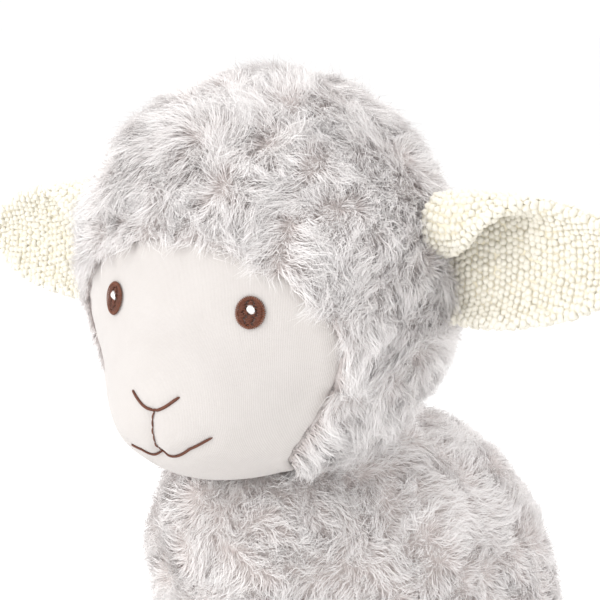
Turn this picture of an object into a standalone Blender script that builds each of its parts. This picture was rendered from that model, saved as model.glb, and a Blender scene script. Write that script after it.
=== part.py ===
"""Plush sheep that lies on its belly: fur bags, jersey face, knitted ears, sewn legs and tail.

Every form is a smooth union of a few ellipsoids, called lumps. Places are worked out from the
rump's centre upwards, and the limbs, ears and face pieces are set on the surface of the form
that carries them. +Z is up, the sheep looks along -Y and its left side is at +X.
"""

import math

import bmesh
import bpy
import numpy as np
from mathutils import Matrix, Vector

MM = 0.001

# Clearances and walls
GAP = 0.3 * MM
SEAT_GAP = 0.1 * MM
FLOOR_CUT = 0.5 * MM
PILE = 8.0 * MM
JERSEY = 1.5 * MM
OVERRUN = 60.0 * MM

# Head, measured to the jersey and the fur's backing, without the pile
HEAD_HALF_WIDTH = 75.0 * MM
HEAD_HALF_LENGTH = 62.0 * MM
HEAD_HALF_HEIGHT = 75.0 * MM
MUZZLE_HALF_WIDTH = 44.0 * MM
MUZZLE_HALF_LENGTH = 48.0 * MM
MUZZLE_HALF_HEIGHT = 35.0 * MM
MUZZLE_FORWARD = 26.0 * MM
MUZZLE_DROP = 40.0 * MM
CHIN_HALF_WIDTH = 31.0 * MM
CHIN_HALF_LENGTH = 34.0 * MM
CHIN_HALF_HEIGHT = 20.0 * MM
CHIN_FORWARD = 39.0 * MM
CHIN_DROP = 52.0 * MM

# Body, measured to the tips of the pile
RUMP_HALF_WIDTH = 82.0 * MM
RUMP_HALF_LENGTH = 84.0 * MM
RUMP_HALF_HEIGHT = 80.0 * MM
SHOULDER_HALF_WIDTH = 75.0 * MM
SHOULDER_HALF_LENGTH = 58.0 * MM
SHOULDER_HALF_HEIGHT = 60.0 * MM
SHOULDER_FORWARD = 50.0 * MM
SHOULDER_RISE = 26.0 * MM
CHEST_HALF_WIDTH = 60.0 * MM
CHEST_HALF_LENGTH = 50.0 * MM
CHEST_HALF_HEIGHT = 72.0 * MM
CHEST_FORWARD = 60.0 * MM
CHEST_DROP = 6.0 * MM
HAUNCH_HALF_WIDTH = 36.0 * MM
HAUNCH_HALF_LENGTH = 46.0 * MM
HAUNCH_HALF_HEIGHT = 44.0 * MM
HAUNCH_SIDE = 48.0 * MM
HAUNCH_BACK = 18.0 * MM
HAUNCH_DROP = 30.0 * MM

# Neck: a round stump of the body on which the head sits
NECK_RADIUS = 64.0 * MM
NECK_FORWARD = 54.0 * MM
NECK_RISE = 38.0 * MM
NECK_MOUTH_RADIUS = 30.0 * MM
HEAD_FORWARD_OF_NECK = 28.0 * MM
HEAD_ABOVE_NECK = 108.0 * MM
RUMP_BEHIND_ORIGIN = 31.9 * MM

# Face panel outline, as seen from the front
FACE_HALF_WIDTH = 59.0 * MM
FACE_MIDDLE_DROP = 20.0 * MM
FACE_RISE = 39.5 * MM
FACE_FALL = 70.0 * MM
FACE_BACK = 12.0 * MM
FACE_UPPER_POWER = 2.0
FACE_LOWER_POWER = 1.45

# Embroidery, which stands on the face panel
THREAD_RADIUS = 0.75 * MM
PATCH_THICKNESS = 1.0 * MM
EYE_HALF_WIDTH = 6.3 * MM
EYE_HALF_HEIGHT = 7.0 * MM
EYE_SIDE = 31.2 * MM
EYE_DROP = 6.5 * MM
GLINT_HALF_WIDTH = 1.6 * MM
GLINT_HALF_HEIGHT = 1.9 * MM
GLINT_SIDE = 1.4 * MM
GLINT_RISE = 1.6 * MM
NOSE_HALF_WIDTH = 10.4 * MM
NOSE_TOP_DROP = 37.8 * MM
NOSE_BOTTOM_DROP = 43.4 * MM
MOUTH_DROP = 60.5 * MM
MOUTH_HALF_WIDTH = 21.5 * MM
MOUTH_RISE = 6.5 * MM

# Ears: two knitted sheets each, on a seam down the side of the head
EAR_LENGTH = 72.0 * MM
EAR_HALF_WIDTH = 27.5 * MM
EAR_ROOT_HALF_WIDTH = 25.5 * MM
EAR_WIDEST_share = 0.3
EAR_TIP_POWER = 2.2
EAR_SHEET = 3.0 * MM
EAR_SHEET_EDGE = 1.0 * MM
EAR_CUP = 11.0 * MM
EAR_BACK = 12.0 * MM
EAR_RISE = 7.5 * MM

# Legs, with the hip ball set into the body
LEG_BALL_RADIUS = 27.0 * MM
LEG_MIDDLE_RADIUS = 24.0 * MM
LEG_FOOT_RADIUS = 27.0 * MM
LEG_LENGTH = 62.0 * MM
LEG_PILE = 6.0 * MM
FOOT_LENGTH = 26.0 * MM
HIP_STAND_OFF = 14.0 * MM
FRONT_HIP_ANGLE = math.radians(34.0)
FRONT_LEG_ANGLE = math.radians(20.0)
HIND_HIP_ANGLE = math.radians(62.0)
HIND_LEG_ANGLE = math.radians(46.0)
HIND_HIP_BACK = 14.0 * MM
FRONT_HIP_FORWARD = 52.0 * MM

# Tail
TAIL_BALL_RADIUS = 16.0 * MM
TAIL_END_RADIUS = 13.0 * MM
TAIL_LENGTH = 20.0 * MM
TAIL_PILE = 5.0 * MM
TAIL_STAND_OFF = 8.0 * MM
TAIL_RISE = 18.0 * MM
TAIL_SLOPE = math.radians(-35.0)

# Closing seam, sewn by hand up the back of the body
SEAM_STITCHES = 7
SEAM_PITCH = 6.0 * MM
STITCH_HALF_LENGTH = 3.0 * MM
SEAM_DROP = 24.0 * MM

# How sharply two lumps meet, and how finely forms are divided
BLEND = 9.0
HEAD_GRID = (26, 14)
BODY_GRID = (28, 15)
LIMB_GRID = (14, 4)
EAR_GRID = (9, 6)
PATCH_GRID = (18, 2)
THREAD_SIDES = 6
BISECTIONS = 40
NECK_STEPS = 16
NECK_MOUTH_SIDES = 27
SOCKET_STEPS = 10
NOSE_STEPS = 5
LIP_STEPS = 4
MOUTH_STEPS = 8

FUR = ("fur", (0.72, 0.69, 0.66), 0.95)
JERSEY_CREAM = ("jersey", (0.90, 0.87, 0.82), 0.85)
KNIT_CREAM = ("knit", (0.88, 0.83, 0.68), 0.9)
THREAD_BROWN = ("brown_thread", (0.20, 0.07, 0.04), 0.6)
THREAD_WHITE = ("white_thread", (0.92, 0.90, 0.88), 0.6)
FILLING = ("filling", (0.93, 0.93, 0.92), 1.0)


def clear_scene():
    """Removes every object, so that the model starts from nothing."""
    for obj in list(bpy.data.objects):
        bpy.data.objects.remove(obj, do_unlink=True)


def material(finish):
    """The Principled material of a finish, made once."""
    name, colour, roughness = finish
    found = bpy.data.materials.get(name)
    if found:
        return found
    made = bpy.data.materials.new(name)
    made.use_nodes = True
    shader = made.node_tree.nodes["Principled BSDF"]
    shader.inputs["Base Color"].default_value = (*colour, 1.0)
    shader.inputs["Roughness"].default_value = roughness
    shader.inputs["Metallic"].default_value = 0.0
    return made


def solid(name, points, faces, finish=None):
    """A new object from points and triangles in the model's frame."""
    mesh = bpy.data.meshes.new(name)
    mesh.from_pydata([tuple(p) for p in points], [], faces)
    work = bmesh.new()
    work.from_mesh(mesh)
    bmesh.ops.recalc_face_normals(work, faces=work.faces)
    work.to_mesh(mesh)
    work.free()
    mesh.shade_smooth()
    obj = bpy.data.objects.new(name, mesh)
    bpy.context.scene.collection.objects.link(obj)
    if finish:
        mesh.materials.append(material(finish))
    return obj


def cutter(name, points, faces):
    """A solid that only shapes others and is left out of the model."""
    obj = solid(name, points, faces)
    obj.hide_render = True
    obj.display_type = "WIRE"
    return obj


def shape(obj, operation, tool):
    """Adds one exact Boolean step to an object."""
    step = obj.modifiers.new(tool.name, "BOOLEAN")
    step.solver = "EXACT"
    step.operation = operation
    step.object = tool


def cut(obj, *tools):
    """Cuts each tool out of an object."""
    for tool in tools:
        shape(obj, "DIFFERENCE", tool)


def closed_rings(rings, first, last):
    """Points and faces of a closed skin over rings of points, with a pole at each end."""
    count = len(rings[0])
    points = [first] + [p for ring in rings for p in ring] + [last]
    faces = [(0, 1 + (j + 1) % count, 1 + j) for j in range(count)]
    for i in range(len(rings) - 1):
        low, high = 1 + i * count, 1 + (i + 1) * count
        for j in range(count):
            k = (j + 1) % count
            faces += [(low + j, low + k, high + k), (low + j, high + k, high + j)]
    base, end = 1 + (len(rings) - 1) * count, len(points) - 1
    faces += [(end, base + j, base + (j + 1) % count) for j in range(count)]
    return points, faces


def fullness(points, lumps, inset):
    """Above zero inside the smooth union of the lumps, each drawn in by inset."""
    total = -np.ones(points.shape[:-1])
    for centre, half in lumps:
        scaled = (points - np.array(centre)) / (np.array(half) - inset)
        total += np.exp(BLEND * (1.0 - np.sqrt((scaled**2).sum(-1))))
    return total


def reach(lumps, inset, starts, directions):
    """How far the form goes from points inside it, along each direction."""
    near = np.zeros(len(directions))
    far = np.full(len(directions), 4.0 * max(half[1] for _, half in lumps))
    for _ in range(BISECTIONS):
        middle = (near + far) / 2.0
        inside = fullness(starts + directions * middle[:, None], lumps, inset) > 0.0
        near = np.where(inside, middle, near)
        far = np.where(inside, far, middle)
    return near


def surface(lumps, inset, start, direction):
    """The point where a ray from inside a form leaves it."""
    start = np.array(start, float)
    direction = np.array(direction, float) / np.linalg.norm(direction)
    far = reach(lumps, inset, start[None], direction[None])[0]
    return Vector(start + direction * far)


def outward(lumps, point, step):
    """The direction in which a form ends soonest, at a point of its surface."""
    slope = []
    for axis in np.eye(3):
        ahead, behind = np.array(point) + axis * step, np.array(point) - axis * step
        slope.append(fullness(behind, lumps, 0.0) - fullness(ahead, lumps, 0.0))
    return Vector(slope).normalized()


def form(lumps, inset, centre, grid):
    """Points and faces of a form, from rings of rays round its centre."""
    segments, rings = grid
    around = np.linspace(0.0, 2.0 * math.pi, segments, endpoint=False)
    centre = np.array(centre, float)
    made = []
    for row in range(1, rings):
        down = math.pi * row / rings
        rays = np.stack(
            [
                math.sin(down) * np.cos(around),
                math.sin(down) * np.sin(around),
                np.full(segments, math.cos(down)),
            ],
            axis=-1,
        )
        far = reach(lumps, inset, np.tile(centre, (segments, 1)), rays)
        made.append([Vector(p) for p in centre + rays * far[:, None]])
    top = surface(lumps, inset, centre, (0.0, 0.0, 1.0))
    bottom = surface(lumps, inset, centre, (0.0, 0.0, -1.0))
    return closed_rings(made, top, bottom)


def turned(start, axis, profile, sides):
    """A closed turned shape: profile holds distance along the axis and radius, poles first and last."""
    axis = Vector(axis).normalized()
    side = axis.orthogonal().normalized()
    other = axis.cross(side)
    rings = []
    for along, radius in profile[1:-1]:
        middle = start + axis * along
        ring = []
        for j in range(sides):
            angle = 2.0 * math.pi * j / sides
            ring.append(middle + (side * math.cos(angle) + other * math.sin(angle)) * radius)
        rings.append(ring)
    return closed_rings(rings, start + axis * profile[0][0], start + axis * profile[-1][0])


def ball(centre, radius, steps):
    """A turned ball with its poles up and down and its corners at the radius."""
    profile = []
    for i in range(steps + 1):
        angle = math.pi * i / steps
        profile.append((-radius * math.cos(angle), radius * math.sin(angle)))
    return turned(centre, (0.0, 0.0, 1.0), profile, 2 * steps)


def hollow(centre, radius, steps):
    """A ball whose flat facets lie outside the radius, so that a ball of that radius turns in it."""
    flatness = math.cos(math.pi / (2.0 * steps)) ** 2
    return ball(centre, radius / flatness, steps)


def column(centre, axis, radius, half_length, sides):
    """A round column about a point, with its flats at the radius."""
    radius = radius / math.cos(math.pi / sides)
    profile = [(-half_length, 0.0), (-half_length, radius), (half_length, radius), (half_length, 0.0)]
    return turned(centre, axis, profile, sides)


def pivot(name, place, parent=None):
    """An empty at a joint, which its moving pieces hang from."""
    empty = bpy.data.objects.new(name, None)
    bpy.context.scene.collection.objects.link(empty)
    origin = Vector()
    if parent:
        empty.parent = parent
        origin = parent["place"]
    empty["place"] = tuple(place)
    empty.location = Vector(place) - Vector(origin)
    return empty


def hang(obj, empty):
    """Gives a piece its joint's empty as parent and origin, with the piece left where it is."""
    obj.data.transform(Matrix.Translation(-Vector(empty["place"])))
    obj.parent = empty
    return obj


class Sheep:
    """The places that the sheep's pieces share, worked out from the named sizes."""

    def __init__(self):
        rough = self.body_lumps(Vector((0.0, RUMP_BEHIND_ORIGIN, RUMP_HALF_HEIGHT)))
        lowest = min(p[2] for p in form(rough, 0.0, rough[0][0], BODY_GRID)[0])
        self.rump = Vector((0.0, RUMP_BEHIND_ORIGIN, RUMP_HALF_HEIGHT - lowest - FLOOR_CUT))
        self.body = self.body_lumps(self.rump)
        self.neck = self.rump + Vector((0.0, -NECK_FORWARD, NECK_RISE))
        self.head = self.neck + Vector((0.0, -HEAD_FORWARD_OF_NECK, HEAD_ABOVE_NECK))
        self.head_parts = self.head_lumps(self.head)
        self.muzzle = self.head + Vector((0.0, -MUZZLE_FORWARD, 0.0))

    @staticmethod
    def body_lumps(rump):
        """The body's lumps, from the centre of the rump."""
        shoulder = rump + Vector((0.0, -SHOULDER_FORWARD, SHOULDER_RISE))
        chest = rump + Vector((0.0, -CHEST_FORWARD, -CHEST_DROP))
        lumps = [
            (rump, (RUMP_HALF_WIDTH, RUMP_HALF_LENGTH, RUMP_HALF_HEIGHT)),
            (shoulder, (SHOULDER_HALF_WIDTH, SHOULDER_HALF_LENGTH, SHOULDER_HALF_HEIGHT)),
            (chest, (CHEST_HALF_WIDTH, CHEST_HALF_LENGTH, CHEST_HALF_HEIGHT)),
        ]
        for side in (-1.0, 1.0):
            haunch = rump + Vector((side * HAUNCH_SIDE, HAUNCH_BACK, -HAUNCH_DROP))
            lumps.append((haunch, (HAUNCH_HALF_WIDTH, HAUNCH_HALF_LENGTH, HAUNCH_HALF_HEIGHT)))
        return lumps

    @staticmethod
    def head_lumps(head):
        """The head's lumps, from the centre of the skull."""
        muzzle = head + Vector((0.0, -MUZZLE_FORWARD, -MUZZLE_DROP))
        chin = head + Vector((0.0, -CHIN_FORWARD, -CHIN_DROP))
        return [
            (head, (HEAD_HALF_WIDTH, HEAD_HALF_LENGTH, HEAD_HALF_HEIGHT)),
            (muzzle, (MUZZLE_HALF_WIDTH, MUZZLE_HALF_LENGTH, MUZZLE_HALF_HEIGHT)),
            (chin, (CHIN_HALF_WIDTH, CHIN_HALF_LENGTH, CHIN_HALF_HEIGHT)),
        ]

    def on_face(self, side, drop, proud):
        """The point of the face that is side and drop from its middle, proud of the jersey."""
        start = (side, self.muzzle.y, self.head.z - drop)
        at = surface(self.head_parts, -JERSEY, start, (0.0, -1.0, 0.0))
        return at + outward(self.head_parts, at, JERSEY) * proud

    def hip(self, side, angle, back, stand_off, radius):
        """A hip's centre near the floor, on the body's surface plus its stand-off."""
        start = self.rump + Vector((0.0, back, 0.0))
        start.z = radius - FLOOR_CUT
        way = (side * math.sin(angle), -math.cos(angle), 0.0)
        at = surface(self.body, 0.0, start, way)
        return at + Vector(way) * stand_off


def face_outline(margin, steps):
    """The face panel's outline from the front, grown by margin: an arch over a fuller chin."""
    points = []
    for i in range(steps):
        angle = 2.0 * math.pi * i / steps
        across, up = math.cos(angle), math.sin(angle)
        power = FACE_UPPER_POWER if up > 0.0 else FACE_LOWER_POWER
        height = FACE_RISE if up > 0.0 else FACE_FALL
        x = math.copysign(abs(across) ** (2.0 / power), across) * (FACE_HALF_WIDTH + margin)
        z = math.copysign(abs(up) ** (2.0 / power), up) * (height + margin) - FACE_MIDDLE_DROP
        points.append((x, z))
    return points


def face_prism(name, sheep, margin):
    """The face outline run from in front of the muzzle to just behind the cheeks."""
    outline = face_outline(margin, 2 * NECK_STEPS)
    front = sheep.head.y - HEAD_HALF_LENGTH - OVERRUN
    back = sheep.head.y - FACE_BACK + margin
    rings = [[Vector((x, y, sheep.head.z + z)) for x, z in outline] for y in (front, back)]
    middle = Vector((0.0, 0.0, sheep.head.z - FACE_MIDDLE_DROP))
    ends = [middle + Vector((0.0, y, 0.0)) for y in (front, back)]
    return cutter(name, *closed_rings(rings, *ends))


def make_head(sheep, nod):
    """The fur hood, the jersey face panel and the head's filling."""
    lumps = sheep.head_parts
    hood = solid("head_fur", *form(lumps, -PILE, sheep.head, HEAD_GRID), FUR)
    panel = solid("face_panel", *form(lumps, -JERSEY, sheep.head, HEAD_GRID), JERSEY_CREAM)
    filling = solid("head_filling", *form(lumps, GAP, sheep.head, HEAD_GRID), FILLING)
    inside = cutter("head_inside", *form(lumps, 0.0, sheep.head, HEAD_GRID))
    socket = cutter("neck_socket", *hollow(sheep.neck, NECK_RADIUS + SEAT_GAP, NECK_STEPS))
    opening = face_prism("face_opening", sheep, GAP)
    keep = face_prism("face_keep", sheep, 0.0)
    cut(hood, inside, opening, socket)
    shape(panel, "INTERSECT", keep)
    cut(panel, inside, socket)
    cut(filling, socket)
    grooves = [ear_groove(sheep, side) for side in (1.0, -1.0)]
    cut(hood, *grooves)
    cut(filling, *grooves)
    return [hang(piece, nod) for piece in (hood, panel, filling)]


def patch(name, sheep, centre, half, low, finish):
    """A thin embroidered oval that follows the face, from low to low plus its thickness."""
    segments, rings = PATCH_GRID
    layers = []
    for proud in (low, low + PATCH_THICKNESS):
        layer = []
        for ring in range(1, rings + 1):
            row = []
            for j in range(segments):
                angle = 2.0 * math.pi * j / segments
                side = centre[0] + half[0] * math.cos(angle) * ring / rings
                drop = centre[1] - half[1] * math.sin(angle) * ring / rings
                row.append(sheep.on_face(side, drop, proud))
            layer.append(row)
        layers.append(layer)
    rings_in_order = layers[0] + layers[1][::-1]
    middles = [sheep.on_face(centre[0], centre[1], p) for p in (low, low + PATCH_THICKNESS)]
    return solid(name, *closed_rings(rings_in_order, *middles), finish)


def tube(line, radius, lumps):
    """A round thread along a line, with its rings square to the form that it lies on."""
    rings = []
    for i, at in enumerate(line):
        along = (line[min(i + 1, len(line) - 1)] - line[max(i - 1, 0)]).normalized()
        across = along.cross(outward(lumps, at, JERSEY)).normalized()
        up = across.cross(along)
        ring = []
        for j in range(THREAD_SIDES):
            angle = 2.0 * math.pi * j / THREAD_SIDES
            ring.append(at + (across * math.cos(angle) + up * math.sin(angle)) * radius)
        rings.append(ring)
    return closed_rings(rings, line[0], line[-1])


def thread(name, sheep, route, finish):
    """A round thread laid on the face through points given as side and drop."""
    line = [sheep.on_face(side, drop, GAP + THREAD_RADIUS) for side, drop in route]
    return solid(name, *tube(line, THREAD_RADIUS, sheep.head_parts), finish)


def make_embroidery(sheep, nod):
    """Eyes with a white glint, the nose's two arms, the line under it and the mouth."""
    for side, label in ((1.0, "left"), (-1.0, "right")):
        centre = (side * EYE_SIDE, EYE_DROP)
        glint = (side * EYE_SIDE + GLINT_SIDE, EYE_DROP - GLINT_RISE)
        low = 2.0 * GAP
        eye = patch(f"eye_{label}", sheep, centre, (EYE_HALF_WIDTH, EYE_HALF_HEIGHT), low, THREAD_BROWN)
        top = low + PATCH_THICKNESS + GAP
        size = (GLINT_HALF_WIDTH, GLINT_HALF_HEIGHT)
        shine = patch(f"eye_glint_{label}", sheep, glint, size, top, THREAD_WHITE)
        hang(eye, nod)
        hang(shine, nod)
        hang(thread(f"nose_stitch_{label}", sheep, nose_route(side), THREAD_BROWN), nod)
        hang(thread(f"mouth_stitch_{label}", sheep, mouth_route(side), THREAD_BROWN), nod)
    hang(thread("lip_line_stitch", sheep, lip_route(), THREAD_BROWN), nod)


def nose_route(side):
    """One arm of the nose, from its outer end down to the middle."""
    inner = THREAD_RADIUS + GAP
    route = []
    for i in range(NOSE_STEPS + 1):
        share = i / NOSE_STEPS
        x = NOSE_HALF_WIDTH + (inner - NOSE_HALF_WIDTH) * share
        drop = NOSE_TOP_DROP + (NOSE_BOTTOM_DROP - NOSE_TOP_DROP) * math.sin(share * math.pi / 2.0)
        route.append((side * x, drop))
    return route


def lip_route():
    """The line from between the nose's arms to between the mouth's halves."""
    top, bottom = NOSE_BOTTOM_DROP + THREAD_RADIUS, MOUTH_DROP - THREAD_RADIUS
    return [(0.0, top + (bottom - top) * i / LIP_STEPS) for i in range(LIP_STEPS + 1)]


def mouth_route(side):
    """One half of the mouth, which rises towards its corner."""
    inner = THREAD_RADIUS + GAP
    route = []
    for i in range(MOUTH_STEPS + 1):
        share = i / MOUTH_STEPS
        x = inner + (MOUTH_HALF_WIDTH - inner) * share
        route.append((side * x, MOUTH_DROP - MOUTH_RISE * share**2))
    return route


def ear_frame(sheep, side):
    """An ear's root on the head, its seam direction, its outward way and its forward way."""
    start = sheep.head + Vector((0.0, EAR_BACK, EAR_RISE))
    root = surface(sheep.head_parts, -PILE, start, (side, 0.0, 0.0))
    return root, Vector((0.0, 0.0, 1.0)), Vector((side, 0.0, 0.0)), Vector((0.0, -1.0, 0.0))


def ear_groove(sheep, side):
    """The slot in the fur and filling that an ear's sewn edge turns in."""
    root, seam, _, _ = ear_frame(sheep, side)
    radius = EAR_SHEET + 2.0 * GAP
    half = ear_half_width(2.0 * radius / EAR_LENGTH) + GAP
    label = "left" if side > 0.0 else "right"
    return cutter(f"ear_groove_{label}", *column(root, seam, radius, half, 4 * THREAD_SIDES))


def ear_half_width(share):
    """An ear's half width at a share of its length."""
    if share < EAR_WIDEST_share:
        rise = math.sin(share / EAR_WIDEST_share * math.pi / 2.0)
        return EAR_ROOT_HALF_WIDTH + (EAR_HALF_WIDTH - EAR_ROOT_HALF_WIDTH) * rise
    out = (share - EAR_WIDEST_share) / (1.0 - EAR_WIDEST_share)
    return EAR_HALF_WIDTH * math.sqrt(max(0.0, 1.0 - out**EAR_TIP_POWER))


def ear_sheet(name, sheep, side, layer):
    """One knitted sheet of an ear: layer is 1 for the front sheet and -1 for the back one."""
    root, seam, out, ahead = ear_frame(sheep, side)
    along_steps, across_steps = EAR_GRID
    rings = []
    for i in range(along_steps + 1):
        share = math.sin(i / (along_steps + 1) * math.pi / 2.0)
        width = ear_half_width(share)
        bend = EAR_CUP * math.sin(math.pi * min(1.0, share)) * (1.0 - share)
        inner, outer = [], []
        for j in range(across_steps + 1):
            across = -1.0 + 2.0 * j / across_steps
            fat = EAR_SHEET_EDGE + (EAR_SHEET - GAP - EAR_SHEET_EDGE) * (1.0 - across**2)
            middle = root + out * (EAR_LENGTH * share) + seam * (width * across)
            middle = middle + ahead * (bend * across**2)
            inner.append(middle + ahead * (layer * GAP / 2.0))
            outer.append(middle + ahead * (layer * (GAP / 2.0 + fat)))
        rings.append(inner + outer[::-1])
    root_middle = sum(rings[0], Vector()) / len(rings[0])
    tip = root + out * EAR_LENGTH + ahead * (layer * (GAP + EAR_SHEET_EDGE) / 2.0)
    return solid(name, *closed_rings(rings, root_middle, tip), KNIT_CREAM)


def make_ears(sheep, nod):
    """Both ears, each on an empty at its seam."""
    for side, label in ((1.0, "left"), (-1.0, "right")):
        seam = pivot(f"ear_{label}_seam", ear_frame(sheep, side)[0], nod)
        hang(ear_sheet(f"ear_{label}_front", sheep, side, 1.0), seam)
        hang(ear_sheet(f"ear_{label}_back", sheep, side, -1.0), seam)


def limb_profile(ball_radius, middle_radius, end_radius, length, inset, grid):
    """A limb's turned outline: a ball, a slimmer middle and a rounded end, drawn in by inset."""
    _, rings = grid
    root, middle, end = (r - inset for r in (ball_radius, middle_radius, end_radius))
    profile = []
    for i in range(rings + 1):
        angle = math.pi / 2.0 * i / rings
        profile.append((-root * math.cos(angle), root * math.sin(angle)))
    for i in range(1, rings):
        share = i / rings
        radius = root + (end - root) * share - (root + end - 2.0 * middle) / 2.0 * math.sin(math.pi * share)
        profile.append((length * share, radius))
    for i in range(rings + 1):
        angle = math.pi / 2.0 * i / rings
        profile.append((length + end * math.sin(angle), end * math.cos(angle)))
    return profile


def floor_block(sheep):
    """All that lies below the floor, as a cutter."""
    half = 2.0 * (RUMP_HALF_LENGTH + LEG_LENGTH + OVERRUN)
    middle = Vector((0.0, sheep.rump.y, -OVERRUN))
    return cutter("below_floor", *column(middle, (0.0, 0.0, 1.0), half, OVERRUN, 4))


def limb_sizes(kind):
    """Ball, middle and end radius, length and pile of a leg or of the tail."""
    if kind == "leg":
        return LEG_BALL_RADIUS, LEG_MIDDLE_RADIUS, LEG_FOOT_RADIUS, LEG_LENGTH, LEG_PILE
    middle = (TAIL_BALL_RADIUS + TAIL_END_RADIUS) / 2.0
    return TAIL_BALL_RADIUS, middle, TAIL_END_RADIUS, TAIL_LENGTH, TAIL_PILE


def make_leg(label, hip, way, floor):
    """One leg: a fur sleeve, a knitted foot and the filling in them, on an empty at the hip."""
    ball_radius, middle, end, length, pile = limb_sizes("leg")
    joint = pivot(f"{label}_hip", hip)
    sides = LIMB_GRID[0]

    def turned_limb(inset):
        profile = limb_profile(ball_radius, middle, end, length, inset, LIMB_GRID)
        return turned(hip, way, profile, sides)

    sleeve = solid(f"{label}_fur", *turned_limb(0.0), FUR)
    foot = solid(f"{label}_foot", *turned_limb(pile - JERSEY), KNIT_CREAM)
    filling = solid(f"{label}_filling", *turned_limb(pile + GAP), FILLING)
    inside = cutter(f"{label}_inside", *turned_limb(pile))
    seam = length + end - FOOT_LENGTH
    half = ball_radius + length
    past_seam = column(hip + way * (seam + half), way, 2.0 * end, half, sides)
    to_seam = column(hip + way * (seam + GAP - half), way, 2.0 * end, half, sides)
    cut(sleeve, inside, cutter(f"{label}_past_seam", *past_seam), floor)
    cut(foot, inside, cutter(f"{label}_to_seam", *to_seam), floor)
    return [hang(piece, joint) for piece in (sleeve, foot, filling)]


def make_tail(hip, way):
    """The tail: a fur pouch, open where it is sewn on, round its filling."""
    ball_radius, middle, end, length, pile = limb_sizes("tail")
    joint = pivot("tail_seam", hip)
    sides = LIMB_GRID[0]
    full = limb_profile(ball_radius, middle, end, length, 0.0, LIMB_GRID)
    core = limb_profile(ball_radius, middle, end, length, pile, LIMB_GRID)
    inner = limb_profile(ball_radius, middle, end, length, pile + GAP, LIMB_GRID)
    pouch = solid("tail_fur", *turned(hip, way, full, sides), FUR)
    filling = solid("tail_filling", *turned(hip, way, inner, sides), FILLING)
    inside = cutter("tail_inside", *turned(hip, way, core, sides))
    mouth = cutter("tail_mouth", *column(hip, way, ball_radius - 2.0 * pile, ball_radius, sides))
    mouth.data.transform(Matrix.Translation(-way * ball_radius))
    cut(pouch, inside, mouth)
    return [hang(piece, joint) for piece in (pouch, filling)]


def make_body(sheep, floor, sockets):
    """The body's fur bag with its neck stump, and the filling inside."""
    bag = solid("body_fur", *form(sheep.body, 0.0, sheep.rump, BODY_GRID), FUR)
    stump = cutter("neck_stump", *ball(sheep.neck, NECK_RADIUS, NECK_STEPS))
    inside = cutter("body_inside", *form(sheep.body, PILE, sheep.rump, HEAD_GRID))
    stump_inside = cutter("stump_inside", *hollow(sheep.neck, NECK_RADIUS - PILE, NECK_STEPS))
    shape(bag, "UNION", stump)
    cut(bag, inside, stump_inside, sheep.neck_mouth, floor, *sockets)
    filling = solid("body_filling", *form(sheep.body, PILE + GAP, sheep.rump, HEAD_GRID), FILLING)
    cut(filling, stump_inside, *sockets)
    return bag, filling


def make_neck(sheep):
    """The firm wad of filling that carries the head: a ball with a short round plug on top."""
    turn = pivot("neck_turn", sheep.neck)
    inner = NECK_RADIUS - PILE - GAP
    wad = solid("neck_filling", *ball(sheep.neck, inner, NECK_STEPS), FILLING)
    middle = sheep.neck + Vector((0.0, 0.0, inner))
    up = (0.0, 0.0, 1.0)
    radius = (NECK_MOUTH_RADIUS - GAP) * math.cos(math.pi / NECK_MOUTH_SIDES)
    plug = cutter("neck_plug", *column(middle, up, radius, 2.0 * PILE, NECK_MOUTH_SIDES))
    limit = cutter("neck_limit", *ball(sheep.neck, NECK_RADIUS, NECK_STEPS))
    shape(plug, "INTERSECT", limit)
    shape(wad, "UNION", plug)
    hang(wad, turn)
    return pivot("head_nod", sheep.neck, turn)


def make_closing_seam(sheep):
    """The ladder stitch that shuts the body bag under the tail: one thread that zigzags down."""
    line = []
    for i in range(SEAM_STITCHES):
        height = sheep.tail_hip.z - SEAM_DROP - SEAM_PITCH * i
        side = STITCH_HALF_LENGTH * (1.0 if i % 2 else -1.0)
        at = surface(sheep.body, 0.0, (side, sheep.rump.y, height), (0.0, 1.0, 0.0))
        line.append(at + outward(sheep.body, at, JERSEY) * (GAP + THREAD_RADIUS))
    return solid("closing_seam", *tube(line, THREAD_RADIUS, sheep.body), THREAD_WHITE)


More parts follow.
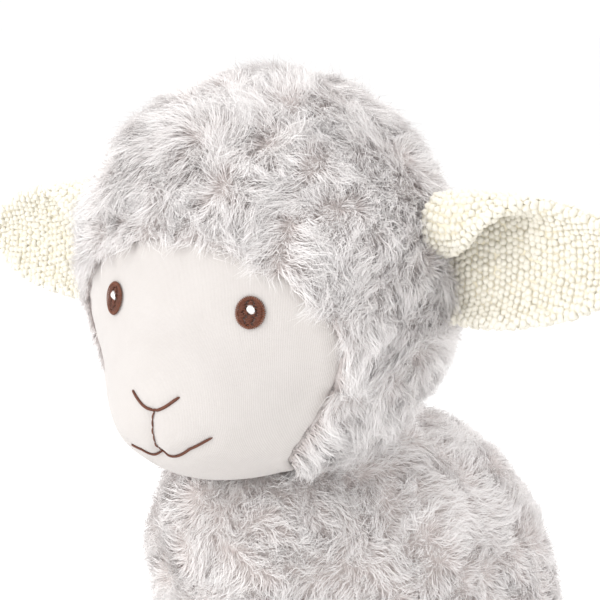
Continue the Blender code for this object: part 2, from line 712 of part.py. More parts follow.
def main():
    """Builds the sheep from the neck outwards."""
    clear_scene()
    sheep = Sheep()
    up = (0.0, 0.0, 1.0)
    floor = floor_block(sheep)
    mouth_middle = sheep.neck + Vector((0.0, 0.0, NECK_RADIUS))
    mouth = column(mouth_middle, up, NECK_MOUTH_RADIUS, NECK_RADIUS / 2.0, NECK_MOUTH_SIDES)
    sheep.neck_mouth = cutter("neck_mouth", *mouth)
    nod = make_neck(sheep)
    make_head(sheep, nod)
    make_embroidery(sheep, nod)
    make_ears(sheep, nod)
    sockets = []
    for side, hand in ((1.0, "left"), (-1.0, "right")):
        legs = (
            ("front", FRONT_HIP_ANGLE, FRONT_LEG_ANGLE, -FRONT_HIP_FORWARD),
            ("hind", HIND_HIP_ANGLE, HIND_LEG_ANGLE, HIND_HIP_BACK),
        )
        for end, hip_angle, leg_angle, back in legs:
            hip = sheep.hip(side, hip_angle, back, HIP_STAND_OFF, LEG_BALL_RADIUS)
            way = Vector((side * math.sin(leg_angle), -math.cos(leg_angle), 0.0))
            label = f"{end}_leg_{hand}"
            make_leg(label, hip, way, floor)
            socket = hollow(hip, LEG_BALL_RADIUS + GAP, SOCKET_STEPS)
            sockets.append(cutter(f"{label}_socket", *socket))
    start = sheep.rump + Vector((0.0, 0.0, TAIL_RISE))
    tail_root = surface(sheep.body, 0.0, start, (0.0, 1.0, 0.0))
    sheep.tail_hip = tail_root + Vector((0.0, TAIL_STAND_OFF, 0.0))
    tail_way = Vector((0.0, math.cos(TAIL_SLOPE), math.sin(TAIL_SLOPE)))
    make_tail(sheep.tail_hip, tail_way)
    socket = hollow(sheep.tail_hip, TAIL_BALL_RADIUS + GAP, SOCKET_STEPS)
    sockets.append(cutter("tail_socket", *socket))
    make_body(sheep, floor, sockets)
    make_closing_seam(sheep)


main()
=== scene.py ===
"""Plush sheep that lies on its belly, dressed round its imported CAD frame.

Every soft piece follows the same lumps as the solids: a form is a smooth union of ellipsoids.
Plush fibres, knitted stitches, embroidery and the jersey of the face are laid on those forms.
"""

import logging
import math
from dataclasses import dataclass, field
from enum import Enum

import bmesh
import bpy
import numpy as np
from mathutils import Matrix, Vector
from mathutils.kdtree import KDTree


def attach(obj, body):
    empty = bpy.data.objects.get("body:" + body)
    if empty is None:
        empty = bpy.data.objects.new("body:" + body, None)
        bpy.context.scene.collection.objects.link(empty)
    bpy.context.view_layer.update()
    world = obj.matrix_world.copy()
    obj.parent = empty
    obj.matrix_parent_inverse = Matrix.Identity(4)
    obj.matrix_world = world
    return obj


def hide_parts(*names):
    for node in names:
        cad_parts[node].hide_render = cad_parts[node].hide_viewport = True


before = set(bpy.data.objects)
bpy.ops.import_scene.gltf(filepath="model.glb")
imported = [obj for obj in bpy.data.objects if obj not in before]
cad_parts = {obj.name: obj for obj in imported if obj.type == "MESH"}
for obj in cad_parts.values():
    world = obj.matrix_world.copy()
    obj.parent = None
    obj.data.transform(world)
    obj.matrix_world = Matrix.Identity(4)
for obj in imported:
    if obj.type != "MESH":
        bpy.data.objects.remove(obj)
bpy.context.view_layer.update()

LOG = logging.getLogger("sheep")
MM = 0.001
Colour = tuple[float, float, float]
Point = tuple[float, float, float]
Shell = tuple[np.ndarray, list[tuple[int, ...]]]

HEAD_CENTRE: Point = (0.0, -0.0501, 0.22556)
RUMP_CENTRE: Point = (0.0, 0.0319, 0.07956)
NECK_CENTRE: Point = (0.0, -0.0221, 0.11756)
NECK_RADIUS = 64.0 * MM
# The jersey lies outside the lumps of the head, so its inset is below zero.
FACE_INSET = -1.5 * MM
FULL_TURN = 2.0 * math.pi
# Columns of the fibres' map, each of which holds one tone.
TONES = 128.0
FINE_STEP = 0.2 * MM


class Slot(Enum):
    """The record's material slots."""

    FUR = "fur"
    JERSEY = "jersey"
    KNIT = "knit"
    BROWN = "brown_thread"
    PALE = "pale_thread"
    FILLING = "filling"


class Side(Enum):
    """The sheep's own left and right, with the sign of X there."""

    LEFT = 1.0
    RIGHT = -1.0

    @property
    def label(self) -> str:
        """The word used in piece names."""
        return self.name.lower()


class Wire:
    """A number in a material, on which Python's operators add Math nodes."""

    def __init__(self, graph: "Graph", socket: bpy.types.NodeSocket) -> None:
        """Keeps the socket and the graph that it belongs to."""
        self.graph = graph
        self.socket = socket

    def __add__(self, other: "Wire | float") -> "Wire":
        """Sum."""
        return self.graph.math("ADD", self, other)

    __radd__ = __add__

    def __sub__(self, other: "Wire | float") -> "Wire":
        """Difference."""
        return self.graph.math("SUBTRACT", self, other)

    def __rsub__(self, other: float) -> "Wire":
        """Difference from a plain number."""
        return self.graph.math("SUBTRACT", other, self)

    def __mul__(self, other: "Wire | float") -> "Wire":
        """Product."""
        return self.graph.math("MULTIPLY", self, other)

    __rmul__ = __mul__

    def __truediv__(self, other: "Wire | float") -> "Wire":
        """Quotient."""
        return self.graph.math("DIVIDE", self, other)

    def __rtruediv__(self, other: float) -> "Wire":
        """A plain number over this one."""
        return self.graph.math("DIVIDE", other, self)


class Graph:
    """A new material with a Principled shader, and short ways to add nodes to it."""

    def __init__(self, name: str) -> None:
        """Makes the material and its shader.

        Args:
            name: The material's name.
        """
        self.material = bpy.data.materials.new(name)
        self.material.use_nodes = True
        self.tree = self.material.node_tree
        self.shader = self.tree.nodes["Principled BSDF"]

    def node(self, kind: str, settings: dict | None = None, **sockets: object) -> bpy.types.Node:
        """Adds any node.

        Args:
            kind: The node's type, without its ShaderNode prefix.
            settings: Values of the node itself, set before its sockets.
            sockets: Values or links of its inputs, with spaces written as underscores.

        Returns:
            The new node.
        """
        made = self.tree.nodes.new(f"ShaderNode{kind}")
        for key, value in (settings or {}).items():
            setattr(made, key, value)
        for key, value in sockets.items():
            self.feed(made.inputs[key.replace("_", " ")], value)
        return made

    def feed(self, socket: bpy.types.NodeSocket, value: object) -> None:
        """Links a wire or a socket to an input, or sets a plain value there."""
        if isinstance(value, Wire):
            self.tree.links.new(value.socket, socket)
        elif isinstance(value, bpy.types.NodeSocket):
            self.tree.links.new(value, socket)
        else:
            socket.default_value = value

    def math(self, operation: str, *values: "Wire | float") -> Wire:
        """One Math node on up to three values."""
        made = self.node("Math", {"operation": operation})
        for socket, value in zip(made.inputs, values):
            self.feed(socket, value)
        return Wire(self, made.outputs[0])

    def mix(self, factor: "Wire | float", first: object, second: object) -> bpy.types.NodeSocket:
        """A colour between two colours.

        Args:
            factor: 0 for the first colour and 1 for the second.
            first: A colour or a colour socket.
            second: A colour or a colour socket.

        Returns:
            The mixed colour's socket.
        """
        made = self.node("Mix", {"data_type": "RGBA"})
        for index, value in ((0, factor), (6, first), (7, second)):
            self.feed(made.inputs[index], (*value, 1.0) if isinstance(value, tuple) else value)
        return made.outputs[2]

    def place(self) -> bpy.types.NodeSocket:
        """The point in the object's own frame, in metres."""
        return self.node("TexCoord").outputs["Object"]

    def parts(self, vector: bpy.types.NodeSocket) -> list[Wire]:
        """A vector's three numbers."""
        made = self.node("SeparateXYZ", Vector=vector)
        return [Wire(self, socket) for socket in made.outputs]

    def noise(self, vector: bpy.types.NodeSocket, size: float, detail: float = 2.0) -> Wire:
        """Soft noise from 0 to 1, with features of about a size in metres."""
        made = self.node("TexNoise", Vector=vector, Scale=1.0 / size, Detail=detail)
        return Wire(self, made.outputs["Fac"])

    def limit(self, value: Wire, low: float, high: float) -> Wire:
        """A value spread from low to high over 0 to 1, and kept there."""
        made = self.node("MapRange", {"clamp": True}, Value=value, From_Min=low, From_Max=high)
        return Wire(self, made.outputs[0])

    def bump(self, height: Wire, distance: float, strength: float = 1.0) -> None:
        """Feeds a height in the shader's normal."""
        made = self.node("Bump", Height=height, Distance=distance, Strength=strength)
        self.feed(self.shader.inputs["Normal"], made.outputs[0])

    def finish(self, colour: object, roughness: float, **constants: float) -> bpy.types.Material:
        """Sets the shader's colour and its constant values.

        Args:
            colour: A colour or a colour socket.
            roughness: The shader's roughness.
            constants: Other sockets of the shader, with spaces written as underscores.

        Returns:
            The finished material.
        """
        opaque = (*colour, 1.0) if isinstance(colour, tuple) else colour
        self.feed(self.shader.inputs["Base Color"], opaque)
        self.shader.inputs["Roughness"].default_value = roughness
        for key, value in constants.items():
            self.shader.inputs[key.replace("_", " ")].default_value = value
        return self.material


@dataclass(frozen=True)
class FibreFinish:
    """Plush fibres, read from each fibre's own map: tone across, root to tip upwards.

    Attributes:
        name: The material's name.
        root: Colour at the root, darker than the tip as painted shade deep in the pile.
        middle: Colour half way up.
        tip: Colour at the tip.
        spread: How much duller the dullest fibres are than the brightest.
    """

    name: str
    root: Colour
    middle: Colour
    tip: Colour
    spread: float = 0.24

    def build(self) -> bpy.types.Material:
        """The fibres' material."""
        graph = Graph(self.name)
        uv = graph.node("UVMap", {"uv_map": "OFBake"}).outputs[0]
        tone, along, _ = graph.parts(uv)
        # Darker towards the root: painted shade deep in the pile.
        low = graph.mix(graph.limit(along, 0.0, 0.45), self.root, self.middle)
        full = graph.mix(graph.limit(along, 0.35, 1.0), low, self.tip)
        shade = graph.math("FLOOR", tone * TONES) / (TONES - 1.0)
        dull = tuple(0.9 * c for c in self.middle)
        toned = graph.mix(graph.limit(1.0 - shade, 0.0, 1.0) * self.spread, full, dull)
        return graph.finish(toned, 0.75, Sheen_Weight=0.45, Sheen_Roughness=0.4)


@dataclass(frozen=True)
class BackingFinish:
    """The dense underfur that shows between the locks, painted darker than the fibres as shade deep in the
    pile.

    Attributes:
        name: The material's name.
        dark: Colour of its hollows, painted shade where the bump is low.
        light: Colour of its ridges.
    """

    name: str
    dark: Colour
    light: Colour

    def build(self) -> bpy.types.Material:
        """The underfur's material."""
        graph = Graph(self.name)
        at = graph.place()
        fine = graph.noise(at, 0.9 * MM, 3.0)
        broad = graph.noise(at, 9.0 * MM, 2.0)
        # Darker where the fine bump is low: painted shade in the underfur's hollows.
        colour = graph.mix(graph.limit(fine * 0.7 + broad * 0.3, 0.3, 0.7), self.dark, self.light)
        graph.bump(fine, 0.8 * MM)
        return graph.finish(colour, 0.95, Sheen_Weight=0.3)


@dataclass(frozen=True)
class JerseyFinish:
    """Fine knitted jersey.

    Attributes:
        name: The material's name.
        colour: Colour of its loops.
        shade: Colour between them.
        pitch: Distance between two wales.
    """

    name: str
    colour: Colour
    shade: Colour
    pitch: float = 0.55 * MM

    def build(self) -> bpy.types.Material:
        """The jersey's material."""
        graph = Graph(self.name)
        at = graph.place()
        x, _, z = graph.parts(at)
        turn = FULL_TURN / self.pitch
        wobble = graph.noise(at, 6.0 * MM) * 3.0
        wales = graph.math("SINE", x * turn + wobble)
        courses = graph.math("SINE", z * (turn * 1.3) + graph.math("ABSOLUTE", wales) * 1.6 + wobble)
        loops = (wales * 0.6 + courses * 0.4) * 0.5 + 0.5
        fuzz = graph.noise(at, 0.35 * MM, 2.0)
        broad = graph.noise(at, 14.0 * MM, 2.0)
        mask = graph.limit(loops * 0.55 + fuzz * 0.35 + broad * 0.25, 0.2, 0.85)
        graph.bump(loops * 0.7 + fuzz * 0.6, 0.16 * MM, 0.9)
        return graph.finish(graph.mix(mask, self.shade, self.colour), 0.85, Sheen_Weight=0.25)


@dataclass(frozen=True)
class YarnFinish:
    """Soft cotton yarn, with fine twisted fibres.

    Attributes:
        name: The material's name.
        colour: Colour of its fibres.
        shade: Colour between them.
        fibre: Size of one fibre.
    """

    name: str
    colour: Colour
    shade: Colour
    fibre: float = 0.5 * MM

    def build(self) -> bpy.types.Material:
        """The yarn's material."""
        graph = Graph(self.name)
        at = graph.place()
        x, y, z = graph.parts(at)
        fine = graph.noise(at, self.fibre, 3.0)
        broad = graph.noise(at, 6.0 * MM, 1.0)
        turn = FULL_TURN / (1.6 * self.fibre)
        twist = graph.math("SINE", (x + y + z) * turn + fine * 5.0) * 0.5 + 0.5
        mask = graph.limit(fine * 0.6 + broad * 0.3 + twist * 0.25, 0.25, 0.8)
        graph.bump(fine * 0.6 + twist * 0.5, 0.25 * MM, 0.9)
        return graph.finish(graph.mix(mask, self.shade, self.colour), 0.85, Sheen_Weight=0.3)


@dataclass(frozen=True)
class SatinFinish:
    """Embroidery thread.

    Attributes:
        name: The material's name.
        colour: Colour of the thread.
        light: Colour of its lighter fibres, partly painted sheen on the raised fibres and partly random
            tone.
    """

    name: str
    colour: Colour
    light: Colour

    def build(self) -> bpy.types.Material:
        """The thread's material."""
        graph = Graph(self.name)
        at = graph.place()
        fine = graph.noise(at, 0.25 * MM, 2.0)
        broad = graph.noise(at, 1.6 * MM, 1.0)
        # Lighter where the fine bump is high: painted sheen, with random tone from the broad noise.
        mask = graph.limit(fine * 0.6 + broad * 0.4, 0.35, 0.7)
        graph.bump(fine, 0.08 * MM)
        return graph.finish(graph.mix(mask, self.colour, self.light), 0.55)


@dataclass(frozen=True)
class WaddingFinish:
    """Loose white polyester fibre.

    Attributes:
        name: The material's name.
        colour: Its colour.
    """

    name: str
    colour: Colour

    def build(self) -> bpy.types.Material:
        """The filling's material."""
        graph = Graph(self.name)
        at = graph.place()
        fluff = graph.noise(at, 4.0 * MM, 5.0)
        graph.bump(fluff, 2.0 * MM)
        # Darker where the fluff's bump is low: painted shade in its hollows.
        dull = tuple(0.85 * c for c in self.colour)
        return graph.finish(graph.mix(fluff, dull, self.colour), 0.95, Sheen_Weight=0.3)


@dataclass
class Wardrobe:
    """Every finish of the sheep, made once."""

    fibres: bpy.types.Material = field(init=False)
    underfur: bpy.types.Material = field(init=False)
    jersey: bpy.types.Material = field(init=False)
    yarn: bpy.types.Material = field(init=False)
    knit_ground: bpy.types.Material = field(init=False)
    brown: bpy.types.Material = field(init=False)
    rim: bpy.types.Material = field(init=False)
    pale: bpy.types.Material = field(init=False)
    wadding: bpy.types.Material = field(init=False)

    def __post_init__(self) -> None:
        """Builds the materials."""
        # The fibres darken from tip to root: painted shade deep in the pile.
        self.fibres = FibreFinish(
            "plush_fibres", (0.76, 0.69, 0.67), (0.91, 0.877, 0.868), (0.965, 0.95, 0.948)
        ).build()
        # The underfur is painted darker than the fibres: shade deep in the pile.
        self.underfur = BackingFinish(
            "plush_underfur", (0.60, 0.53, 0.51), (0.80, 0.755, 0.74)
        ).build()
        self.jersey = JerseyFinish(
            "cream_jersey", (0.685, 0.650, 0.630), (0.56, 0.523, 0.500)
        ).build()
        self.yarn = YarnFinish("cream_yarn", (0.955, 0.925, 0.84), (0.90, 0.85, 0.72)).build()
        # The knit ground is yellower than the loops: painted warm shade in the gaps between them.
        self.knit_ground = YarnFinish("knit_ground", (0.97, 0.92, 0.77), (0.92, 0.85, 0.66)).build()
        self.brown = SatinFinish("brown_thread", (0.09, 0.024, 0.010), (0.17, 0.050, 0.022)).build()
        self.rim = SatinFinish("russet_thread", (0.125, 0.036, 0.015), (0.23, 0.075, 0.035)).build()
        self.pale = SatinFinish("white_thread", (0.90, 0.88, 0.86), (0.98, 0.97, 0.96)).build()
        self.wadding = WaddingFinish("wadding", (0.92, 0.92, 0.91)).build()


def unit(vectors: np.ndarray) -> np.ndarray:
    """Vectors made one long."""
    return vectors / np.maximum(np.linalg.norm(vectors, axis=-1, keepdims=True), 1e-12)


def eased(share: np.ndarray) -> np.ndarray:
    """Shares from 0 to 1, eased at both ends."""
    return share * share * (3.0 - 2.0 * share)


def angles(count: int) -> np.ndarray:
    """Even angles over a full turn."""
    return FULL_TURN * np.arange(count) / count


def nothing_selected() -> None:
    """Leaves edit mode and deselects everything."""
    if bpy.context.object and bpy.context.object.mode != "OBJECT":
        bpy.ops.object.mode_set(mode="OBJECT")
    bpy.ops.object.select_all(action="DESELECT")


def smooth_object(
    name: str, mesh: bpy.types.Mesh, material: bpy.types.Material
) -> bpy.types.Object:
    """A smooth object from a mesh, in the scene at the origin."""
    mesh.shade_smooth()
    mesh.materials.append(material)
    made = bpy.data.objects.new(name, mesh)
    bpy.context.scene.collection.objects.link(made)
    return made


def mesh_piece(
    name: str, points: np.ndarray, faces: list[tuple[int, ...]], material: bpy.types.Material
) -> bpy.types.Object:
    """A new smooth piece.

    Args:
        name: The piece's name.
        points: Its corners in metres, one row each.
        faces: Its faces as tuples of corner numbers.
        material: What covers it.

    Returns:
        The new object, at the origin.
    """
    mesh = bpy.data.meshes.new(name)
    mesh.from_pydata(points.tolist(), [], faces)
    return smooth_object(name, mesh, material)


def applied(piece: bpy.types.Object, kind: str, **settings: object) -> bpy.types.Object:
    """Adds a modifier to a piece and applies it."""
    nothing_selected()
    bpy.context.view_layer.objects.active = piece
    piece.select_set(True)
    step = piece.modifiers.new(kind.lower(), kind)
    for key, value in settings.items():
        setattr(step, key, value)
    bpy.ops.object.modifier_apply(modifier=step.name)
    return piece


def joined(name: str, parts: list[Shell], material: bpy.types.Material) -> bpy.types.Object:
    """One piece from several meshes given as points and faces."""
    points, faces, start = [], [], 0
    for some, theirs in parts:
        points.append(some)
        faces += [tuple(int(i) + start for i in face) for face in theirs]
        start += len(some)
    return mesh_piece(name, np.concatenate(points), faces, material)


def ring_faces(rings: int, count: int) -> list[tuple[int, ...]]:
    """Faces of a skin over rings of corners, with a pole before the first and after the last.

    Args:
        rings: How many rings there are.
        count: Corners of each ring.

    Returns:
        Faces as corner numbers: first pole, rings in order, last pole.
    """
    faces: list[tuple[int, ...]] = [(0, 1 + (j + 1) % count, 1 + j) for j in range(count)]
    for i in range(rings - 1):
        low, high = 1 + i * count, 1 + (i + 1) * count
        for j in range(count):
            k = (j + 1) % count
            faces.append((low + j, low + k, high + k, high + j))
    base, end = 1 + (rings - 1) * count, 1 + rings * count
    faces += [(end, base + j, base + (j + 1) % count) for j in range(count)]
    return faces


@dataclass
class SoftForm:
    """A smooth union of ellipsoids, with balls welded on or hollowed out.

    Attributes:
        centre: Where rays start.
        lumps: Centre and half sizes of each ellipsoid.
        welds: Balls joined to the form.
        hollows: Balls taken out of it.
        blend: How sharply the lumps meet.
        furthest: No part of the form is further from where a ray starts.
        halvings: How often the search along a ray halves its gap.
    """

    furthest = 0.3
    halvings = 20
    centre: Point
    lumps: list[tuple[Point, Point]]
    welds: list[tuple[Point, float]] = field(default_factory=list)
    hollows: list[tuple[Point, float]] = field(default_factory=list)
    blend: float = 9.0

    def fullness(self, points: np.ndarray, inset: float) -> np.ndarray:
        """Above zero inside the ellipsoids, each drawn in by inset."""
        total = -np.ones(points.shape[:-1])
        for centre, half in self.lumps:
            scaled = (points - np.array(centre)) / (np.array(half) - inset)
            total += np.exp(self.blend * (1.0 - np.sqrt((scaled**2).sum(-1))))
        return total

    @staticmethod
    def crossing(
        starts: np.ndarray, rays: np.ndarray, ball: tuple[Point, float], last: bool
    ) -> np.ndarray:
        """Where rays meet a ball: the last crossing, or the first, or not a number."""
        away = starts - np.array(ball[0])
        along = (away * rays).sum(-1)
        inside = along**2 - ((away**2).sum(-1) - ball[1] ** 2)
        root = np.sqrt(np.where(inside > 0.0, inside, np.nan))
        return -along + root if last else -along - root

    def reach(self, rays: np.ndarray, inset: float = 0.0, starts: np.ndarray | None = None) -> np.ndarray:
        """How far the form goes along rays.

        Args:
            rays: Directions, one long.
            inset: How far inside the form's own surface to stop.
            starts: Where the rays start, if not at the centre.

        Returns:
            A distance for each ray.
        """
        if starts is None:
            starts = np.tile(np.array(self.centre), (len(rays), 1))
        near, far = np.zeros(len(rays)), np.full(len(rays), self.furthest)
        for _ in range(self.halvings):
            middle = (near + far) / 2.0
            inside = self.fullness(starts + rays * middle[:, None], inset) > 0.0
            near, far = np.where(inside, middle, near), np.where(inside, far, middle)
        for centre, radius in self.welds:
            edge = self.crossing(starts, rays, (centre, radius - inset), True)
            near = np.fmax(near, edge)
        for ball in self.hollows:
            edge = self.crossing(starts, rays, ball, False)
            near = np.where(edge > 0.0, np.fmin(near, edge), near)
        return near

    def surface(self, rays: np.ndarray, inset: float = 0.0, starts: np.ndarray | None = None) -> np.ndarray:
        """The points where rays leave the form."""
        base = np.tile(np.array(self.centre), (len(rays), 1)) if starts is None else starts
        return base + rays * self.reach(rays, inset, starts)[:, None]

    def normals(self, points: np.ndarray, inset: float = 0.0) -> np.ndarray:
        """Outward directions of the ellipsoids' union, and of a weld where one is further out."""
        slope = np.zeros_like(points)
        for axis in range(3):
            step = np.zeros(3)
            step[axis] = FINE_STEP
            slope[:, axis] = self.fullness(points - step, inset) - self.fullness(points + step, inset)
        found = unit(slope)
        for centre, radius in self.welds:
            away = points - np.array(centre)
            out = np.linalg.norm(away, axis=-1) > radius - inset - 0.5 * MM
            on = out & (self.fullness(points, inset) < -0.02)
            found = np.where(on[:, None], unit(away), found)
        return found

    def skin(self, grid: tuple[int, int], inset: float) -> Shell:
        """A skin on the form, with poles up and down.

        Args:
            grid: Corners round the form, and rows from pole to pole.
            inset: How far inside the form's own surface it lies.

        Returns:
            Points and faces.
        """
        count, rows = grid
        around = np.linspace(0.0, FULL_TURN, count, endpoint=False)
        down = np.pi * np.arange(1, rows) / rows
        rays = np.stack(
            [
                np.outer(np.sin(down), np.cos(around)),
                np.outer(np.sin(down), np.sin(around)),
                np.outer(np.cos(down), np.ones(count)),
            ],
            axis=-1,
        ).reshape(-1, 3)
        rays = np.concatenate([[(0.0, 0.0, 1.0)], rays, [(0.0, 0.0, -1.0)]])
        return self.surface(rays, inset), ring_faces(rows - 1, count)

    def scatter(self, count: int, inset: float, rng: np.random.Generator) -> np.ndarray:
        """Points spread evenly over the form, with rays weighed by the area that they stand for.

        Args:
            count: How many points.
            inset: How far inside the form's own surface they lie.
            rng: Where the random draws come from.

        Returns:
            The points, in random order.
        """
        made: list[np.ndarray] = []
        left = count
        peak = 0.0
        while left > 0:
            rays = unit(rng.normal(size=(max(4000, 3 * left), 3)))
            far = self.reach(rays, inset)
            at = np.array(self.centre) + rays * far[:, None]
            facing = np.clip((self.normals(at, inset) * rays).sum(-1), 0.2, 1.0)
            weight = far**2 / facing
            peak = max(peak, float(np.percentile(weight, 99.0)))
            at = at[rng.random(len(at)) * peak < weight][:left]
            made.append(at)
            left -= len(at)
        return np.concatenate(made)


def spaced(points: np.ndarray, gap: float) -> np.ndarray:
    """As many of the points as leave at least a gap between them, taken in order."""
    cell: dict[tuple[int, ...], list[np.ndarray]] = {}
    kept = []
    for point, key in zip(points, np.floor(points / gap).astype(int)):
        near = False
        for step in np.ndindex(3, 3, 3):
            beside = (key[0] + step[0] - 1, key[1] + step[1] - 1, key[2] + step[2] - 1)
            for other in cell.get(beside, ()):
                near = near or float(((point - other) ** 2).sum()) < gap * gap
            if near:
                break
        if not near:
            cell.setdefault(tuple(key), []).append(point)
            kept.append(point)
    return np.array(kept)


def ribbons(
    name: str, corners: np.ndarray, tone: np.ndarray, steps: np.ndarray, material: bpy.types.Material
) -> bpy.types.Object:
    """One piece of ribbons, a quad and a triangle each, with a map for their tone and height.

    Args:
        name: The piece's name.
        corners: Five corners of each ribbon: two at the root, two half way, and its point.
        tone: Each ribbon's tone, from 0 to 1.
        steps: The heights of root, middle and point in the map.
        material: What covers them.

    Returns:
        The new piece.
    """
    count, each = corners.shape[:2]
    mesh = bpy.data.meshes.new(name)
    mesh.vertices.add(count * each)
    mesh.vertices.foreach_set("co", corners.ravel())
    pattern = np.array([0, 1, 3, 2, 2, 3, 4])
    quad = 4
    loops = (np.arange(count)[:, None] * each + pattern).ravel()
    mesh.loops.add(len(loops))
    mesh.loops.foreach_set("vertex_index", loops)
    starts = (np.arange(count)[:, None] * len(pattern) + np.array([0, quad])).ravel()
    mesh.polygons.add(2 * count)
    mesh.polygons.foreach_set("loop_start", starts)
    mesh.update(calc_edges=True)
    column = np.floor(np.clip(tone, 0.0, 0.999) * TONES) / TONES
    left, right = column + 0.1 / TONES, column + 0.9 / TONES
    middle = (left + right) / 2.0
    low, mid, top = (np.full(count, share) for share in steps)
    pairs = ((left, low), (right, low), (right, mid), (left, mid), (left, mid), (right, mid), (middle, top))
    layer = mesh.uv_layers.new(name="OFBake")
    layer.data.foreach_set("uv", np.stack([np.stack(pair, -1) for pair in pairs], 1).ravel())
    mesh.validate()
    return smooth_object(name, mesh, material)


@dataclass
class Plush:
    """Long plush that parts in whorls, with fibres that run together into curly locks.

    Attributes:
        form: The form that the pile grows on.
        inset: How far inside the form's surface the fibres are rooted.
        length: The fibres' length.
        seed: Start of the random draws.
        whorl: Distance between whorls.
        lock: Distance between locks.
        width: A fibre's width at its root.
        comb: The way in which the whole pile leans.
        lean: How far the pile lies down.
        sweep: How strongly neighbouring whorls lean the same way.
        parting: Half the length of the line in which the pile parts.
        wave: Size of the slow turns of the whole pile's lean.
        eye: How far from a parting the fibres stand up.
        curl: How far a fibre swings aside, as a share of its length.
    """

    form: SoftForm
    inset: float
    length: float
    seed: int
    whorl: float = 11.0 * MM
    lock: float = 3.2 * MM
    width: float = 0.27 * MM
    comb: Point = (0.0, 0.0, -0.35)
    lean: float = 0.92
    sweep: float = 0.6
    parting: float = 3.6 * MM
    wave: float = 13.0 * MM
    eye: float = 3.5 * MM
    curl: float = 0.38

    def __post_init__(self) -> None:
        """Draws the whorls and the locks."""
        whorl_tries, whorl_share, lock_tries, waves, line = 9000, 0.72, 60000, 6, 3
        self.rng = np.random.default_rng(self.seed)
        middles = spaced(self.form.scatter(whorl_tries, self.inset, self.rng), self.whorl)
        middles = middles[self.rng.random(len(middles)) < whorl_share]
        count = len(middles)
        normals = self.form.normals(middles, self.inset)
        along = unit(np.cross(normals, self.rng.normal(size=middles.shape)))
        steps = np.linspace(-1.0, 1.0, line)[None, :, None] * self.parting
        self.whorls = (steps * along[:, None] + middles[:, None]).reshape(-1, 3)
        self.turn = np.repeat(self.rng.uniform(-1.1, 1.1, count), line)
        self.waves = self.rng.normal(size=(waves, 3))
        self.drift = self.rng.normal(size=(waves, 3))
        self.start = self.rng.uniform(0.0, FULL_TURN, waves)
        self.sign = np.repeat(np.where(self.rng.random(count) < 0.6, 1.0, -1.0), line)
        self.tall = np.repeat(self.rng.uniform(0.74, 1.18, count), line)
        self.whorl_tree = self.tree(self.whorls)
        self.locks = spaced(self.form.scatter(lock_tries, self.inset, self.rng), self.lock)
        self.lock_tree = self.tree(self.locks)
        self.lock_phase = self.rng.uniform(0.0, FULL_TURN, len(self.locks))
        self.lock_tone = self.rng.random(len(self.locks))

    @staticmethod
    def tree(points: np.ndarray) -> KDTree:
        """A search tree of points."""
        made = KDTree(len(points))
        for i, point in enumerate(points):
            made.insert(point, i)
        made.balance()
        return made

    def flow(self, roots: np.ndarray, normals: np.ndarray) -> tuple[np.ndarray, np.ndarray]:
        """The way in which the pile leans at its roots, and how tall it stands there.

        Args:
            roots: Points on the form.
            normals: Outward directions there.

        Returns:
            Leaning directions of length up to 1, and heights round 1.
        """
        nearest = 4
        near = np.empty((len(roots), nearest), int)
        gap = np.empty((len(roots), nearest))
        for i, root in enumerate(roots):
            found = self.whorl_tree.find_n(root, nearest)
            near[i] = [hit[1] for hit in found]
            gap[i] = [hit[2] for hit in found]
        weight = np.exp(-((gap / (0.75 * self.whorl)) ** 2)) + 1e-6
        lean = np.zeros_like(roots)
        for k in range(nearest):
            away = roots - self.whorls[near[:, k]]
            away -= normals * (away * normals).sum(-1, keepdims=True)
            away = unit(away) * np.minimum(1.0, gap[:, k] / self.eye)[:, None]
            turn = self.turn[near[:, k]][:, None]
            spun = np.cos(turn) * away + np.sin(turn) * np.cross(normals, away)
            lean += spun * (weight[:, k] * self.sign[near[:, k]])[:, None]
        lean /= weight.sum(-1)[:, None]
        ripple = np.sin(roots @ self.waves.T / self.wave + self.start) @ self.drift
        comb = np.array(self.comb)[None] + self.sweep / 2.5 * ripple
        comb = comb - normals * (normals * comb).sum(-1, keepdims=True)
        lean = lean + comb
        size = np.linalg.norm(lean, axis=-1, keepdims=True)
        lean = lean / np.maximum(size, 1e-9) * np.minimum(1.0, size * 1.5)
        rise = eased(np.clip(gap[:, 0] / (0.5 * self.whorl), 0.0, 1.0))
        mean = (weight * self.tall[near]).sum(-1) / weight.sum(-1)
        return lean, (0.66 + 0.34 * rise) * mean

    def paths(
        self, roots: np.ndarray, phase: np.ndarray, spread: np.ndarray, steps: np.ndarray
    ) -> np.ndarray:
        """Points along fibres from their roots.

        Args:
            roots: Where the fibres grow.
            phase: Where each fibre's curl starts.
            spread: Each fibre's own small change of lean, as vectors.
            steps: Shares of the length to give points at.

        Returns:
            An array of points: fibre, step, axis.
        """
        normals = self.form.normals(roots, self.inset)
        lean, tall = self.flow(roots, normals)
        lean = lean + spread
        side = np.cross(normals, unit(lean))
        size = self.length * tall[:, None]
        out = []
        for share in steps:
            up = share * (1.0 - 0.42 * share)
            over = self.lean * share**1.35
            aside = self.curl * math.sin(0.8 * math.pi * share) * np.sin(phase + 4.2 * share)
            out.append(roots + size * (normals * up * 1.05 + lean * over + side * aside[:, None]))
        return np.stack(out, axis=1)

